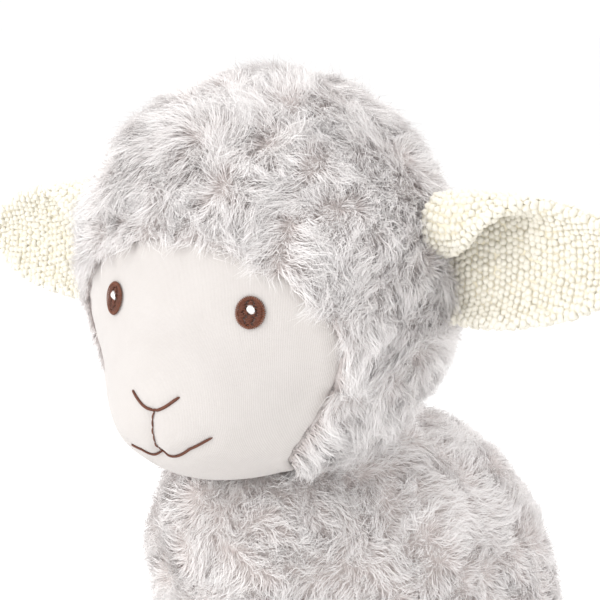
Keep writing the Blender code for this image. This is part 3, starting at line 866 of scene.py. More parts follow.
    def fibres(
        self,
        name: str,
        roots: np.ndarray,
        material: bpy.types.Material,
        trim: np.ndarray | float = 1.0,
    ) -> bpy.types.Object:
        """One piece of fibres, flat ribbons that taper to a point.

        Args:
            name: The piece's name.
            roots: Where the fibres grow.
            material: What covers them.
            trim: A factor on the length, for all fibres or for each.

        Returns:
            The new piece.
        """
        count = len(roots)
        steps = np.array([0.0, 0.52, 1.0])
        home = np.array([self.lock_tree.find(root)[1] for root in roots])
        spread = self.rng.normal(scale=0.3, size=(count, 3))
        phase = self.lock_phase[home] + self.rng.normal(scale=0.5, size=count)
        own = self.paths(roots, phase, spread, steps)
        lock_path = self.paths(self.locks, self.lock_phase, np.zeros_like(self.locks), steps)[home]
        pull = self.rng.uniform(0.15, 0.65, count)[:, None, None] * (steps**1.2)[None, :, None]
        path = own + (lock_path - own) * pull
        size = (trim * self.rng.uniform(0.66, 1.12, count))[:, None, None]
        path = roots[:, None] + (path - roots[:, None]) * size
        along = unit(path[:, 1] - path[:, 0])
        across = unit(np.cross(along, self.form.normals(roots, self.inset)))
        twist = self.rng.normal(scale=0.5, size=count)[:, None]
        across = np.cos(twist) * across + np.sin(twist) * np.cross(along, across)
        wide = self.width * self.rng.uniform(0.7, 1.25, count)[:, None]
        corners = []
        for step, share in ((0, 1.0), (1, 0.85)):
            half = across * wide * share / 2.0
            corners += [path[:, step] - half, path[:, step] + half]
        corners.append(path[:, 2])
        tone = 0.6 * self.lock_tone[home] + 0.4 * self.rng.random(count)
        return ribbons(name, np.stack(corners, axis=1), tone, steps, material)

    def tufted(
        self, name: str, grid: tuple[int, int], material: bpy.types.Material, rise: float
    ) -> bpy.types.Object:
        """The dense underfur: a skin that is low in the whorls and high between them.

        Args:
            name: The piece's name.
            grid: Corners round the form, and rows from pole to pole.
            material: What covers it.
            rise: How much higher its tallest tufts would be than its whorls.

        Returns:
            The new piece.
        """
        points, faces = self.form.skin(grid, self.inset + 1.0 * MM)
        normals = self.form.normals(points, self.inset)
        _, tall = self.flow(points, normals)
        points = points + normals * (rise * (tall - 0.75))[:, None]
        return mesh_piece(name, points, faces, material)


@dataclass
class Head:
    """The stuffed head: fur hood and jersey face.

    Attributes:
        wardrobe: The finishes.
        half_width: Half the outline's width, as seen from the front.
        middle_drop: How far the outline's widest place lies under the head's centre.
        rise: The outline's height over that.
        fall: Its depth under that.
        back: How far in front of the head's centre the panel ends at the cheeks.
        muzzle_forward: How far in front of the head's centre the panel's rays start.
        lower_power: How square the outline's lower half is, where 2 is an ellipse.
        around: Corners round the panel's edge.
        pile_inset: How far inside the lumps the pile is rooted, below zero for outside.
        pile_length: The pile's length.
        tries: Roots that are drawn all over the head.
        most: The most fibres in one piece.
        seed: Start of the random draws.
    """

    wardrobe: Wardrobe
    half_width: float = 59.0 * MM
    middle_drop: float = 20.0 * MM
    rise: float = 39.5 * MM
    fall: float = 70.0 * MM
    back: float = 12.0 * MM
    muzzle_forward: float = 26.0 * MM
    lower_power: float = 1.45
    around: int = 220
    pile_inset: float = -2.0 * MM
    pile_length: float = 10.6 * MM
    tries: int = 246000
    most: int = 66000
    seed: int = 11
    form: SoftForm = field(init=False)
    edge: np.ndarray = field(init=False)

    def __post_init__(self) -> None:
        """Sets up the lumps of skull, muzzle and chin, and the panel's edge."""
        x, y, z = HEAD_CENTRE
        self.form = SoftForm(
            HEAD_CENTRE,
            [
                (HEAD_CENTRE, (75.0 * MM, 62.0 * MM, 75.0 * MM)),
                ((x, y - 26.0 * MM, z - 40.0 * MM), (44.0 * MM, 48.0 * MM, 35.0 * MM)),
                ((x, y - 39.0 * MM, z - 52.0 * MM), (31.0 * MM, 34.0 * MM, 20.0 * MM)),
            ],
            hollows=[(NECK_CENTRE, NECK_RADIUS + 0.6 * MM)],
        )
        self.edge = self.found_edge()

    @property
    def middle(self) -> np.ndarray:
        """Where the panel's rays start."""
        return np.array([0.0, HEAD_CENTRE[1] - self.muzzle_forward, HEAD_CENTRE[2] - 24.0 * MM])

    def at_tilt(self, angle: np.ndarray, tilt: np.ndarray) -> np.ndarray:
        """Points of the face at angles round straight ahead and tilts away from it."""
        ahead = np.array([0.0, -1.0, 0.0])
        outwards = np.stack([np.cos(angle), np.zeros(len(angle)), np.sin(angle)], axis=-1)
        rays = ahead * np.cos(tilt)[:, None] + outwards * np.sin(tilt)[:, None]
        return self.form.surface(rays, FACE_INSET, np.tile(self.middle, (len(angle), 1)))

    def found_edge(self) -> np.ndarray:
        """The tilt of the panel's edge at even angles, smoothed where it turns under the chin."""
        widest, narrowest, tilts, overlap, halvings, smoothings = 2.4, 0.02, 120, 0.021, 10, 14
        count, angle = self.around, angles(self.around)
        near, far = np.zeros(count), np.full(count, widest)
        for tilt in np.linspace(widest, narrowest, tilts):
            out = ~self.in_outline(self.at_tilt(angle, np.full(count, tilt)))
            far = np.where(out, tilt, far)
            near = np.where(out, tilt - overlap, near)
        for _ in range(halvings):
            middle = (near + far) / 2.0
            inside = self.in_outline(self.at_tilt(angle, middle))
            near, far = np.where(inside, middle, near), np.where(inside, far, middle)
        for _ in range(smoothings):
            near = (np.roll(near, 1) + 2.0 * near + np.roll(near, -1)) / 4.0
        return near

    def beyond(self, points: np.ndarray) -> np.ndarray:
        """How far points lie outside the face panel's edge, below zero on the panel."""
        away = points - self.middle
        size = np.linalg.norm(away, axis=-1)
        tilt = np.arccos(np.clip(-away[:, 1] / np.maximum(size, MM), -1.0, 1.0))
        turn = np.arctan2(away[:, 2], away[:, 0]) / FULL_TURN % 1.0
        whole = np.linspace(0.0, 1.0, len(self.edge) + 1)
        reach = np.interp(turn, whole, np.append(self.edge, self.edge[0]))
        return (tilt - reach) * np.maximum(size, MM)

    def in_face(self, points: np.ndarray, margin: float = 0.0) -> np.ndarray:
        """Which points lie on the face panel, grown by a margin."""
        return self.beyond(points) < margin

    def trim(self, roots: np.ndarray) -> np.ndarray:
        """A factor on the pile's length: the far cheek is trimmed short beside the panel."""
        aside = np.clip((-roots[:, 0] - 25.0 * MM) / (25.0 * MM), 0.0, 1.0)
        low = np.clip((HEAD_CENTRE[2] + 16.0 * MM - roots[:, 2]) / (20.0 * MM), 0.0, 1.0)
        close = np.clip(1.0 - self.beyond(roots) / (32.0 * MM), 0.0, 1.0)
        return 1.0 - 0.62 * aside * low * np.sqrt(close)

    def in_outline(self, points: np.ndarray) -> np.ndarray:
        """Which points lie within the panel's outline as seen from the front."""
        x = np.abs(points[:, 0]) / self.half_width
        z = points[:, 2] - HEAD_CENTRE[2] + self.middle_drop
        up = np.clip(z, 0.0, None) / self.rise
        down = np.clip(-z, 0.0, None) / self.fall
        upper = x**2 + up**2 < 1.0
        lower = x**self.lower_power + down**self.lower_power < 1.0
        front = points[:, 1] < HEAD_CENTRE[1] - self.back
        return np.where(z > 0.0, upper, lower) & front

    def on_face(self, spots: np.ndarray, proud: float) -> np.ndarray:
        """Points of the face from their side and drop from its middle.

        Args:
            spots: Side and drop of each point.
            proud: How far the points stand off the CAD panel's face.

        Returns:
            The points, following the dents of the stitches.
        """
        spots = np.asarray(spots, float)
        start = np.stack(
            [
                spots[:, 0],
                np.full(len(spots), HEAD_CENTRE[1] - self.muzzle_forward),
                HEAD_CENTRE[2] - spots[:, 1],
            ],
            axis=-1,
        )
        rays = np.tile((0.0, -1.0, 0.0), (len(spots), 1))
        points = self.form.surface(rays, FACE_INSET, start)
        out = self.form.normals(points, FACE_INSET)
        return points + out * (proud - self.dents(points))[:, None]

    def dents(self, points: np.ndarray) -> np.ndarray:
        """How deep the stitches draw the jersey in, at points of the face."""
        spots = np.stack([points[:, 0], HEAD_CENTRE[2] - points[:, 2]], axis=-1)
        front = np.clip((HEAD_CENTRE[1] - 28.0 * MM - points[:, 1]) / (16.0 * MM), 0.0, 1.0)
        deep = np.zeros(len(points))
        for route, depth, width in stitch_lines():
            gap = distance_to(spots, route)
            deep += depth * np.exp(-((gap / width) ** 2))
        lower = (spots - np.array([0.0, 67.0 * MM])) / np.array([26.0 * MM, 4.5 * MM])
        deep += 0.9 * MM * np.exp(-(lower**2).sum(-1))
        puff = (np.abs(spots) - np.array([13.0 * MM, 0.0])) - np.array([0.0, 52.0 * MM])
        deep -= 0.9 * MM * np.exp(-((puff / np.array([9.0 * MM, 6.0 * MM])) ** 2).sum(-1))
        return deep * eased(front)

    def panel(self) -> bpy.types.Object:
        """The jersey face, puffed between its stitches and drawn in at its seam."""
        around, rings, gathers = self.around, 84, 46.0
        angle = angles(around)
        rows = [self.at_tilt(angle, self.edge * i / rings) for i in range(1, rings + 1)]
        flat = np.concatenate([self.at_tilt(angle, np.zeros(around))[:1], *rows])
        normals = self.form.normals(flat, FACE_INSET)
        ring = np.repeat(rings - np.arange(1, rings + 1), around)
        edge = np.concatenate([[rings], ring]).astype(float)
        turn = np.concatenate([[0.0], np.tile(angle, rings)])
        gather = np.sin(turn * gathers + 2.0 * np.sin(turn * 5.0)) * np.exp(-((edge / 7.0) ** 2))
        tuck = 2.4 * MM * np.clip(1.0 - edge / 2.2, 0.0, 1.0) ** 2
        puff = 0.5 * MM * np.exp(-(((edge - 6.0) / 4.0) ** 2))
        flat = flat + normals * (gather * 0.22 * MM - (tuck - puff) - self.dents(flat))[:, None]
        faces: list[tuple[int, ...]] = [(0, 1 + j, 1 + (j + 1) % around) for j in range(around)]
        for i in range(rings - 1):
            low, high = 1 + i * around, 1 + (i + 1) * around
            for j in range(around):
                k = (j + 1) % around
                faces.append((low + j, high + j, high + k, low + k))
        made = mesh_piece("face_jersey", flat, faces, self.wardrobe.jersey)
        faced_out(made, np.array(HEAD_CENTRE))
        applied(made, "SOLIDIFY", thickness=1.2 * MM, offset=-1.0)
        return made

    def hood(self) -> list[bpy.types.Object]:
        """Underfur and three pieces of fibres round the face."""
        plush = Plush(self.form, self.pile_inset, self.pile_length, self.seed)
        under = plush.tufted("hood_underfur", (240, 130), self.wardrobe.underfur, 3.0 * MM)
        self.sink_behind_panel(under)
        roots = self.form.scatter(self.tries, self.pile_inset, plush.rng)
        free = np.linalg.norm(roots - np.array(NECK_CENTRE), axis=-1) > NECK_RADIUS + 1.5 * MM
        roots = roots[~self.in_face(roots, -0.4 * MM) & free]
        LOG.info("hood roots %d", len(roots))
        made = [under]
        for label, some in thirds(roots[: 3 * self.most], HEAD_CENTRE):
            name = f"hood_fibres_{label}"
            made.append(plush.fibres(name, some, self.wardrobe.fibres, self.trim(some)))
        return made

    def sink_behind_panel(self, under: bpy.types.Object) -> None:
        """Draws the underfur in where the panel covers it."""
        mesh = under.data
        points = np.array([v.co for v in mesh.vertices])
        covered = self.in_face(points, -1.0 * MM)
        away = points - np.array(HEAD_CENTRE)
        size = np.linalg.norm(away, axis=-1)
        depth = np.minimum(size, self.form.reach(unit(away), 4.0 * MM))
        points = np.array(HEAD_CENTRE) + unit(away) * np.where(covered, depth, size)[:, None]
        mesh.vertices.foreach_set("co", points.ravel())
        mesh.update()

    def build(self) -> None:
        """Makes the head's pieces and puts them on the head's body."""
        pieces = self.hood()
        for piece in pieces:
            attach(piece, "head")
        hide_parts("head_fur")
        face = self.panel()
        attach(face, "head")
        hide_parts("face_panel")
        LOG.info("head done")


def faced_out(piece: bpy.types.Object, centre: np.ndarray) -> None:
    """Turns an open skin's faces away from a point inside the form."""
    mesh = piece.data
    total = sum((p.center - Vector(centre)).dot(p.normal) * p.area for p in mesh.polygons)
    if total < 0.0:
        mesh.flip_normals()


def thirds(points: np.ndarray, centre: Point) -> list[tuple[str, np.ndarray]]:
    """Points in three even shares by their bearing round a centre, each with its label."""
    bearing = np.arctan2(points[:, 0] - centre[0], -(points[:, 1] - centre[1]))
    order = np.argsort(bearing, kind="stable")
    labels = ("left", "right", "back")
    return [(label, points[np.sort(share)]) for label, share in zip(labels, np.array_split(order, 3))]


def distance_to(spots: np.ndarray, route: np.ndarray) -> np.ndarray:
    """The distance of flat points from a line through a route's points."""
    best = np.full(len(spots), 9.0)
    for start, end in zip(route[:-1], route[1:]):
        way = end - start
        share = np.clip(((spots - start) @ way) / (way @ way), 0.0, 1.0)
        best = np.minimum(best, np.linalg.norm(spots - start - share[:, None] * way, axis=-1))
    return best


def nose_arm(side: float) -> np.ndarray:
    """One arm of the nose as side and drop, outer end first."""
    share = np.linspace(0.0, 1.0, 14)
    return np.stack(
        [side * 10.4 * MM * (1.0 - share), (37.8 + 5.6 * np.sin(share * math.pi / 2.0)) * MM], axis=-1
    )


def lip_line() -> np.ndarray:
    """The line from nose to mouth as side and drop."""
    drop = np.linspace(43.8, 62.0, 9)
    return np.stack([0.25 * MM * np.sin(drop), drop * MM], axis=-1)


def mouth_half(side: float) -> np.ndarray:
    """One half of the mouth as side and drop, from the middle to its corner; the right one is shorter."""
    share = np.linspace(0.0, 1.0, 26)
    start = 0.4
    long, rise = (21.5, 9.0) if side > 0.0 else (15.5, 1.3)
    x = side * (start + (long - start) * share)
    sag = 1.2 * np.sin(math.pi * np.clip(share * 1.6, 0.0, 1.0))
    return np.stack([x * MM, (61.8 - rise * share**1.6 + sag) * MM], axis=-1)


def stitch_lines() -> list[tuple[np.ndarray, float, float]]:
    """Every stitched line of the face with the depth and the width of its dent."""
    lines = [(lip_line(), 0.9 * MM, 2.6 * MM)]
    for side in (1.0, -1.0):
        lines.append((nose_arm(side), 0.45 * MM, 2.2 * MM))
        lines.append((mouth_half(side), 1.0 * MM, 3.0 * MM))
    return lines


def tube_mesh(
    line: np.ndarray, radius: np.ndarray, up: np.ndarray, sides: int, flat: float = 1.0
) -> Shell:
    """Points and faces of a closed thread along a line.

    Args:
        line: Points that the thread follows.
        radius: Its half width at each point.
        up: The way off the cloth at each point.
        sides: Corners of its cross-section.
        flat: Its height as a share of its width.

    Returns:
        Points and faces, with a pole at each end.
    """
    along = unit(np.gradient(line, axis=0))
    across = unit(np.cross(along, up))
    lift = np.cross(across, along)
    angle = angles(sides)
    ring = np.cos(angle)[None, :, None] * across[:, None]
    ring = ring + flat * np.sin(angle)[None, :, None] * lift[:, None]
    rings = line[:, None] + ring * radius[:, None, None]
    points = np.concatenate([line[:1], rings.reshape(-1, 3), line[-1:]])
    return points, ring_faces(len(line), sides)


@dataclass
class Embroidery:
    """Eyes, nose and mouth, sewn in real stitches on the face.

    Attributes:
        wardrobe: The finishes.
        head: The head whose face carries them.
        eye_side: How far an eye's middle is from the face's middle.
        eye_drop: How far it is from the head's centre upwards.
        eye_half: Half an eye's width and height.
        pitch: Distance between the rows that fill an eye.
    """

    wardrobe: Wardrobe
    head: Head
    eye_side: float = 31.2 * MM
    eye_drop: float = 6.5 * MM
    eye_half: tuple[float, float] = (5.2 * MM, 6.1 * MM)
    pitch: float = 0.55 * MM

    def stitch(
        self, spots: np.ndarray, width: float, height: float, proud: float, sides: int = 6
    ) -> Shell:
        """One stitch through flat spots: it comes up, runs over the cloth and goes down.

        Args:
            spots: Points of the stitch, across and up from the head's centre.
            width: The thread's width.
            height: How high the stitch arches.
            proud: How far it is off the cloth.
            sides: Corners round the thread.

        Returns:
            The stitch's points and faces.
        """
        share = np.linspace(0.0, 1.0, len(spots))
        rise = np.sin(math.pi * share) ** 0.5
        line = self.head.on_face(spots, proud) + self.normals(spots) * (height * (rise - 0.6))[:, None]
        size = width / 2.0 * (0.35 + 0.65 * rise)
        return tube_mesh(line, size, self.normals(spots), sides, 0.7)

    def normals(self, spots: np.ndarray) -> np.ndarray:
        """Ways off the cloth at flat spots."""
        return self.head.form.normals(self.head.on_face(spots, 0.0), FACE_INSET)

    def rope(
        self, name: str, route: np.ndarray, width: float, pitch: float, slant: float
    ) -> bpy.types.Object:
        """A line of slanted satin stitches that overlap like the strands of a rope.

        Args:
            name: The piece's name.
            route: Points of the line, across and up from the head's centre.
            width: The line's width.
            pitch: Distance between its stitches.
            slant: The stitches' angle from the line, in radians.

        Returns:
            The new piece.
        """
        gaps = np.linalg.norm(np.diff(route, axis=0), axis=1)
        total = np.concatenate([[0.0], np.cumsum(gaps)])
        count = max(2, int(total[-1] / pitch))
        parts = []
        for i in range(count + 1):
            at = total[-1] * i / count
            middle = np.array([np.interp(at, total, route[:, k]) for k in (0, 1)])
            later, sooner = min(at + 0.3 * MM, total[-1]), max(at - 0.3 * MM, 0.0)
            ahead = np.array([np.interp(later, total, route[:, k]) for k in (0, 1)])
            behind = np.array([np.interp(sooner, total, route[:, k]) for k in (0, 1)])
            along = unit(ahead - behind)
            across = np.array([-along[1], along[0]])
            way = along * math.cos(slant) + across * math.sin(slant)
            taper = min(1.0, 0.6 + min(i, count - i) * 0.2)
            half = width * taper / (2.0 * max(math.sin(slant), 0.3))
            spots = middle + np.linspace(-1.0, 1.0, 7)[:, None] * way * half
            parts.append(self.stitch(spots, 0.62 * MM, 0.5 * MM, 0.35 * MM))
        return joined(name, parts, self.wardrobe.brown)

    def eye(self, side: Side) -> list[bpy.types.Object]:
        """An eye: rows of brown stitches, a russet rim and a white glint."""
        label = side.label
        centre = np.array([side.value * self.eye_side, self.eye_drop])
        wider, taller, degrees = (1.0, 1.0, 7.0) if side.value > 0.0 else (0.95, 1.1, 20.0)
        half = np.array(self.eye_half) * (wider, taller)
        lean = math.radians(degrees)
        turn = np.array([[math.cos(lean), -math.sin(lean)], [math.sin(lean), math.cos(lean)]])
        rows = []
        count = int(2.0 * half[1] / self.pitch)
        rng = np.random.default_rng(5)
        for i in range(count):
            y = -half[1] + self.pitch * (i + 0.5)
            wide = (half[0] - 0.6 * MM) * math.sqrt(max(0.0, 1.0 - (y / (half[1] - 0.2 * MM)) ** 2))
            pieces = max(1, round(2.0 * wide / (2.6 * MM)))
            cuts = np.linspace(-wide, wide, pieces + 1)
            if pieces > 1:
                cuts[1:-1] += rng.uniform(-0.5, 0.5, pieces - 1) * MM
            for first, last in zip(cuts[:-1], cuts[1:]):
                x = np.linspace(first, last, 6)
                waved = np.full(6, y) + 0.12 * MM * np.sin(x * 900.0)
                spots = np.stack([x, waved], axis=-1) @ turn.T + centre
                rows.append(self.stitch(spots, 0.68 * MM, 0.42 * MM, 0.75 * MM, 5))
        fill = joined(f"eye_{label}_stitches", rows, self.wardrobe.brown)
        rim = []
        around = 46
        for j in range(around):
            angle = FULL_TURN * j / around
            spoke = np.array([math.cos(angle + 0.05), math.sin(angle + 0.05)])
            reach = np.linspace(0.80, 1.03, 5)[:, None]
            spots = (reach * spoke * half) @ turn.T + centre
            rim.append(self.stitch(spots, 0.72 * MM, 0.5 * MM, 0.85 * MM, 5))
        edge = joined(f"eye_{label}_rim", rim, self.wardrobe.rim)
        spot = centre + np.array([0.4 * MM, -1.2 * MM])
        glint = []
        size = np.array([1.3 * MM, 1.8 * MM])
        for i in range(7):
            x = -size[0] + size[0] * 2.0 * (i + 0.5) / 7
            tall = size[1] * math.sqrt(1.0 - (x / size[0]) ** 2)
            y = np.linspace(-tall, tall, 6)
            spots = np.stack([np.full(6, x) + 0.18 * y, y], axis=-1) + spot
            glint.append(self.stitch(spots, 0.6 * MM, 0.6 * MM, 1.35 * MM))
        shine = joined(f"eye_glint_{label}_stitches", glint, self.wardrobe.pale)
        return [fill, edge, shine]

    def build(self) -> None:
        """Makes every stitched piece of the face."""
        for side in Side:
            label = side.label
            fill, edge, shine = self.eye(side)
            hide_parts(f"eye_{label}")
            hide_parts(f"eye_glint_{label}")
            arm = self.rope(f"nose_{label}_satin", nose_arm(side.value), 1.1 * MM, 0.55 * MM, 0.5)
            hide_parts(f"nose_stitch_{label}")
            half = self.rope(f"mouth_{label}_satin", mouth_half(side.value), 0.9 * MM, 0.62 * MM, 0.4)
            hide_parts(f"mouth_stitch_{label}")
            for piece in (fill, edge, shine, arm, half):
                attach(piece, "head")
                (Slot.PALE if piece == shine else Slot.BROWN).value
        parts = []
        line = lip_line()
        total = line[-1, 1] - line[0, 1]
        count = 6
        for i in range(count):
            y = line[0, 1] + total * (np.linspace(0.0, 1.06, 8) + i) / count
            spots = np.stack([0.1 * MM * np.sin(y * 900.0 + i), y], axis=-1)
            parts.append(self.stitch(spots, 0.75 * MM, 0.5 * MM, 0.3 * MM))
        lip = joined("lip_line_dashes", parts, self.wardrobe.brown)
        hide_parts("lip_line_stitch")
        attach(lip, "head")
        LOG.info("embroidery done")


@dataclass
class Knit:
    """Moss stitch: rows of bulging purl loops on a ground of yarn.

    Attributes:
        stitch: A loop's width along its row.
        row: Distance between rows.
        seed: Start of the random draws.
    """

    stitch: float = 2.75 * MM
    row: float = 2.3 * MM
    seed: int = 21

    def loops(
        self, places: np.ndarray, across: np.ndarray, outwards: np.ndarray, size: float = 1.0
    ) -> list[Shell]:
        """A purl loop at each place: a short fat arch of yarn.

        Args:
            places: The loops' middles on the cloth.
            across: The way along the row at each.
            outwards: The way off the cloth at each.
            size: A factor on the loop's size.

        Returns:
            Points and faces of each loop.
        """
        sides, rings = 6, 5
        share = np.linspace(-1.0, 1.0, rings)
        bend = np.cos(share * math.pi / 2.0)
        rng = np.random.default_rng(self.seed)
        made = []
        faces = ring_faces(rings, sides)
        angle = angles(sides)
        tilt = rng.normal(scale=0.3, size=len(places))
        big = size * rng.uniform(0.88, 1.2, len(places))
        places = places + rng.normal(scale=0.22 * MM, size=places.shape)
        for place, way, out, lean, large in zip(places, unit(across), unit(outwards), tilt, big):
            side = np.cross(out, way)
            way = math.cos(lean) * way + math.sin(lean) * side
            side = np.cross(out, way)
            line = place + large * (
                share[:, None] * way * 0.52 * self.stitch
                + (bend - 0.55)[:, None] * out * 0.75 * MM
                - (bend - 0.5)[:, None] * side * 0.35 * MM
            )
            fat = large * 0.5 * self.row * (0.56 + 0.66 * bend)
            ring = np.cos(angle)[None, :, None] * side + 0.85 * np.sin(angle)[None, :, None] * out
            rings_at = line[:, None] + ring * fat[:, None, None]
            points = np.concatenate([line[:1], rings_at.reshape(-1, 3), line[-1:]])
            made.append((points, faces))
        return made


@dataclass
class Ear:
    """One knitted ear: two sheets on a seam, with the front edge rolled in at the root.

    Attributes:
        wardrobe: The finishes.
        side: Which ear.
        root: The seam's middle.
        length: From the seam to the tip.
        half_width: Half the width where the ear is widest.
        root_half_width: Half the width at the seam.
        widest: Where it is widest, as a share of its length.
        thickness: Half the ear's thickness without its loops.
        fold: How much cloth the fold takes to turn over.
        spare: How much wider the upper half's cloth is at the root, as a share of its width.
        folded: Where the fold ends, as a share of the length.
        last: Where the cloth ends, as a share of the length and of half the width.
    """

    wardrobe: Wardrobe
    side: Side
    root: Point = (0.08143, -0.0381, 0.23306)
    length: float = 72.0 * MM
    half_width: float = 27.5 * MM
    root_half_width: float = 25.5 * MM
    widest: float = 0.22
    thickness: float = 2.1 * MM
    fold: float = 9.0 * MM
    spare: float = 1.15
    folded: float = 0.62
    last: float = 0.985

    def width(self, share: np.ndarray) -> np.ndarray:
        """Half the ear's width at shares of its length."""
        rise = np.sin(np.clip(share / self.widest, 0.0, 1.0) * math.pi / 2.0)
        low = self.root_half_width + (self.half_width - self.root_half_width) * rise
        out = np.clip((share - self.widest) / (1.0 - self.widest), 0.0, 1.0)
        high = self.half_width * np.sqrt(np.clip(1.0 - out**1.9, 0.0, 1.0))
        return np.where(share < self.widest, low, high)

    def sheet(self, share: np.ndarray, across: np.ndarray) -> tuple[np.ndarray, np.ndarray, np.ndarray]:
        """The middle of the cloth at shares of the length and of the width.

        Args:
            share: From 0 at the root to 1 at the tip.
            across: From -1 at the lower edge to 1 at the upper one.

        Returns:
            Points, the way along a row, and the way off the front.
        """
        points = []
        for nudge in ((0.0, 0.0), (0.004, 0.0), (0.0, 0.008)):
            points.append(self.curled(share + nudge[0], across + nudge[1]))
        along = unit(points[1] - points[0])
        up = unit(points[2] - points[0])
        front = unit(np.cross(along, up)) * -self.side.value
        return points[0], along, np.where(np.isfinite(front), front, 0.0)

    def near(self, share: np.ndarray) -> np.ndarray:
        """How much of the fold is there: 1 at the root and 0 past the middle."""
        return eased(np.clip(1.0 - share / self.folded, 0.0, 1.0))

    def curled(self, share: np.ndarray, across: np.ndarray) -> np.ndarray:
        """Points of the cupped cloth, whose upper part folds forward over itself near the root."""
        steps = 60
        grid = np.linspace(-1.0, 1.0, steps + 1)
        half = self.width(np.clip(share, 0.0, 0.995))[:, None]
        near = self.near(share)[:, None]
        stretch = np.where(grid > 0.0, 1.0 + self.spare * near, 1.0)
        arc = half * grid[None, :] * stretch
        heading = 0.5 * arc / half * (1.0 - near * 0.6)
        past = np.clip((arc - half + self.fold * 1.1) / self.fold, 0.0, None)
        heading = heading + np.minimum(past, 3.25 * near**0.8 + 0.25)
        low = np.clip((-grid - 0.55) / 0.45, 0.0, 1.0)[None, :]
        heading = heading - (0.2 + 1.0 * near) * low**1.3
        size = np.abs(half) * 2.0 / steps * stretch
        up = np.cumsum(np.cos(heading) * size, axis=1)
        ahead = np.cumsum(np.sin(heading) * size, axis=1)
        middle = steps // 2
        up, ahead = up - up[:, middle : middle + 1], ahead - ahead[:, middle : middle + 1]
        spot = np.clip((across + 1.0) / 2.0 * steps, 0.0, steps - 1e-6)
        low_index = spot.astype(int)
        part = spot - low_index
        rows = np.arange(len(share))
        z = up[rows, low_index] * (1.0 - part) + up[rows, low_index + 1] * part
        y = ahead[rows, low_index] * (1.0 - part) + ahead[rows, low_index + 1] * part
        x, root_y, root_z = self.root
        past_root = (self.length + 4.0 * MM) * share - 0.12 * np.clip(y, 0.0, None)
        return np.stack(
            [
                self.side.value * (x - 5.0 * MM + past_root),
                root_y - y + 2.0 * MM * np.sin(3.0 * share),
                root_z + z + (2.0 * self.side.value + (1.2 + 2.2 * self.side.value) * share) * MM,
            ],
            axis=-1,
        )

    def build(self) -> None:
        """Makes the ground sheets and the loops on them."""
        knit = Knit()
        label = self.side.label
        body = f"ear_{label}"
        rows, columns = 60, 76
        share = (1.0 - (1.0 - np.linspace(0.0, 1.0, rows)) ** 1.3) * self.last
        across = np.linspace(-self.last, self.last, columns)
        grid_share, grid_across = np.meshgrid(share, across, indexing="ij")
        middle, _, front = self.sheet(grid_share.ravel(), grid_across.ravel())
        for layer, name in ((1.0, "front"), (-1.0, "back")):
            low = middle + front * (layer * 0.2 * MM)
            edge = np.clip((1.0 - np.abs(grid_across.ravel())) * 8.0, 0.0, 1.0)[:, None]
            high = middle + front * (layer * self.thickness) * np.sqrt(edge * (2.0 - edge))
            points, faces = slab(low, high, rows, columns)
            ground = mesh_piece(f"ear_{label}_{name}_ground", points, faces, self.wardrobe.knit_ground)
            outward_faces(ground)
            loops = self.loops_on(knit, layer)
            yarn = joined(f"ear_{label}_{name}_loops", loops, self.wardrobe.yarn)
            for piece in (ground, yarn):
                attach(piece, body)
            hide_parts(f"ear_{label}_{name}")
        LOG.info("%s done", body)

    def loops_on(self, knit: Knit, layer: float) -> list[Shell]:
        """The loops on one face of the ear, in rows that run out from the head."""
        shares, spots = [], []
        columns = int(self.length / (knit.row * 0.98))
        for i in range(columns + 1):
            share = (i + 0.5) / (columns + 0.6)
            if share > self.last:
                continue
            half = float(self.width(np.array([share]))[0])
            longer = 1.0 + self.spare * float(self.near(np.array([share]))[0])
            count = max(2, int(half * (1.0 + longer) / (knit.stitch * 0.98)))
            for j in range(count + 1):
                arc = -1.0 + (1.0 + longer) * (j + 0.5 * (i % 2)) / count
                across = arc if arc < 0.0 else arc / longer
                if across <= 1.01:
                    shares.append(share)
                    spots.append(np.clip(across, -self.last, self.last))
        share, across = np.array(shares), np.array(spots)
        middle, along, front = self.sheet(share, across)
        edge = np.clip((1.0 - np.abs(across)) * 8.0, 0.0, 1.0)[:, None]
        off = layer * (self.thickness + 0.1 * MM)
        places = middle + front * off * np.sqrt(edge * (2.0 - edge))
        loops = knit.loops(places, np.cross(along, front), front * layer)
        if layer > 0.0:
            loops += self.rim(knit)
        return loops

    def rim(self, knit: Knit) -> list[Shell]:
        """The bound-off edge: a row of stitches round the ear that closes its two sheets."""
        made = []
        for way in (-1.0, 1.0):
            share = np.linspace(0.02, self.last, int(self.length * 1.08 / knit.row))
            middle, along, front = self.sheet(share, np.full(len(share), self.last * way))
            out = np.cross(front, along) * way * self.side.value
            inner, _, _ = self.sheet(share, np.full(len(share), 0.93 * way))
            out = np.where(((middle - inner) * out).sum(-1, keepdims=True) < 0.0, -out, out)
            made += knit.loops(middle, front, out, 1.05)
        across = np.linspace(-0.9, 0.9, 9)
        middle, along, front = self.sheet(np.full(len(across), self.last), across)
        return made + knit.loops(middle, front, along, 1.05)


def slab(low: np.ndarray, high: np.ndarray, rows: int, columns: int) -> Shell:
    """A closed slab between two grids of points."""
    faces: list[tuple[int, ...]] = []
    count = rows * columns
    for i in range(rows - 1):
        for j in range(columns - 1):
            a = i * columns + j
            faces.append((a, a + 1, a + columns + 1, a + columns))
            faces.append((count + a, count + a + columns, count + a + columns + 1, count + a + 1))
    border = [j for j in range(columns)]
    border += [i * columns + columns - 1 for i in range(1, rows)]
    border += [(rows - 1) * columns + j for j in range(columns - 2, -1, -1)]
    border += [i * columns for i in range(rows - 2, 0, -1)]
    for first, second in zip(border, border[1:] + border[:1]):
        faces.append((first, count + first, count + second, second))
    return np.concatenate([low, high]), faces


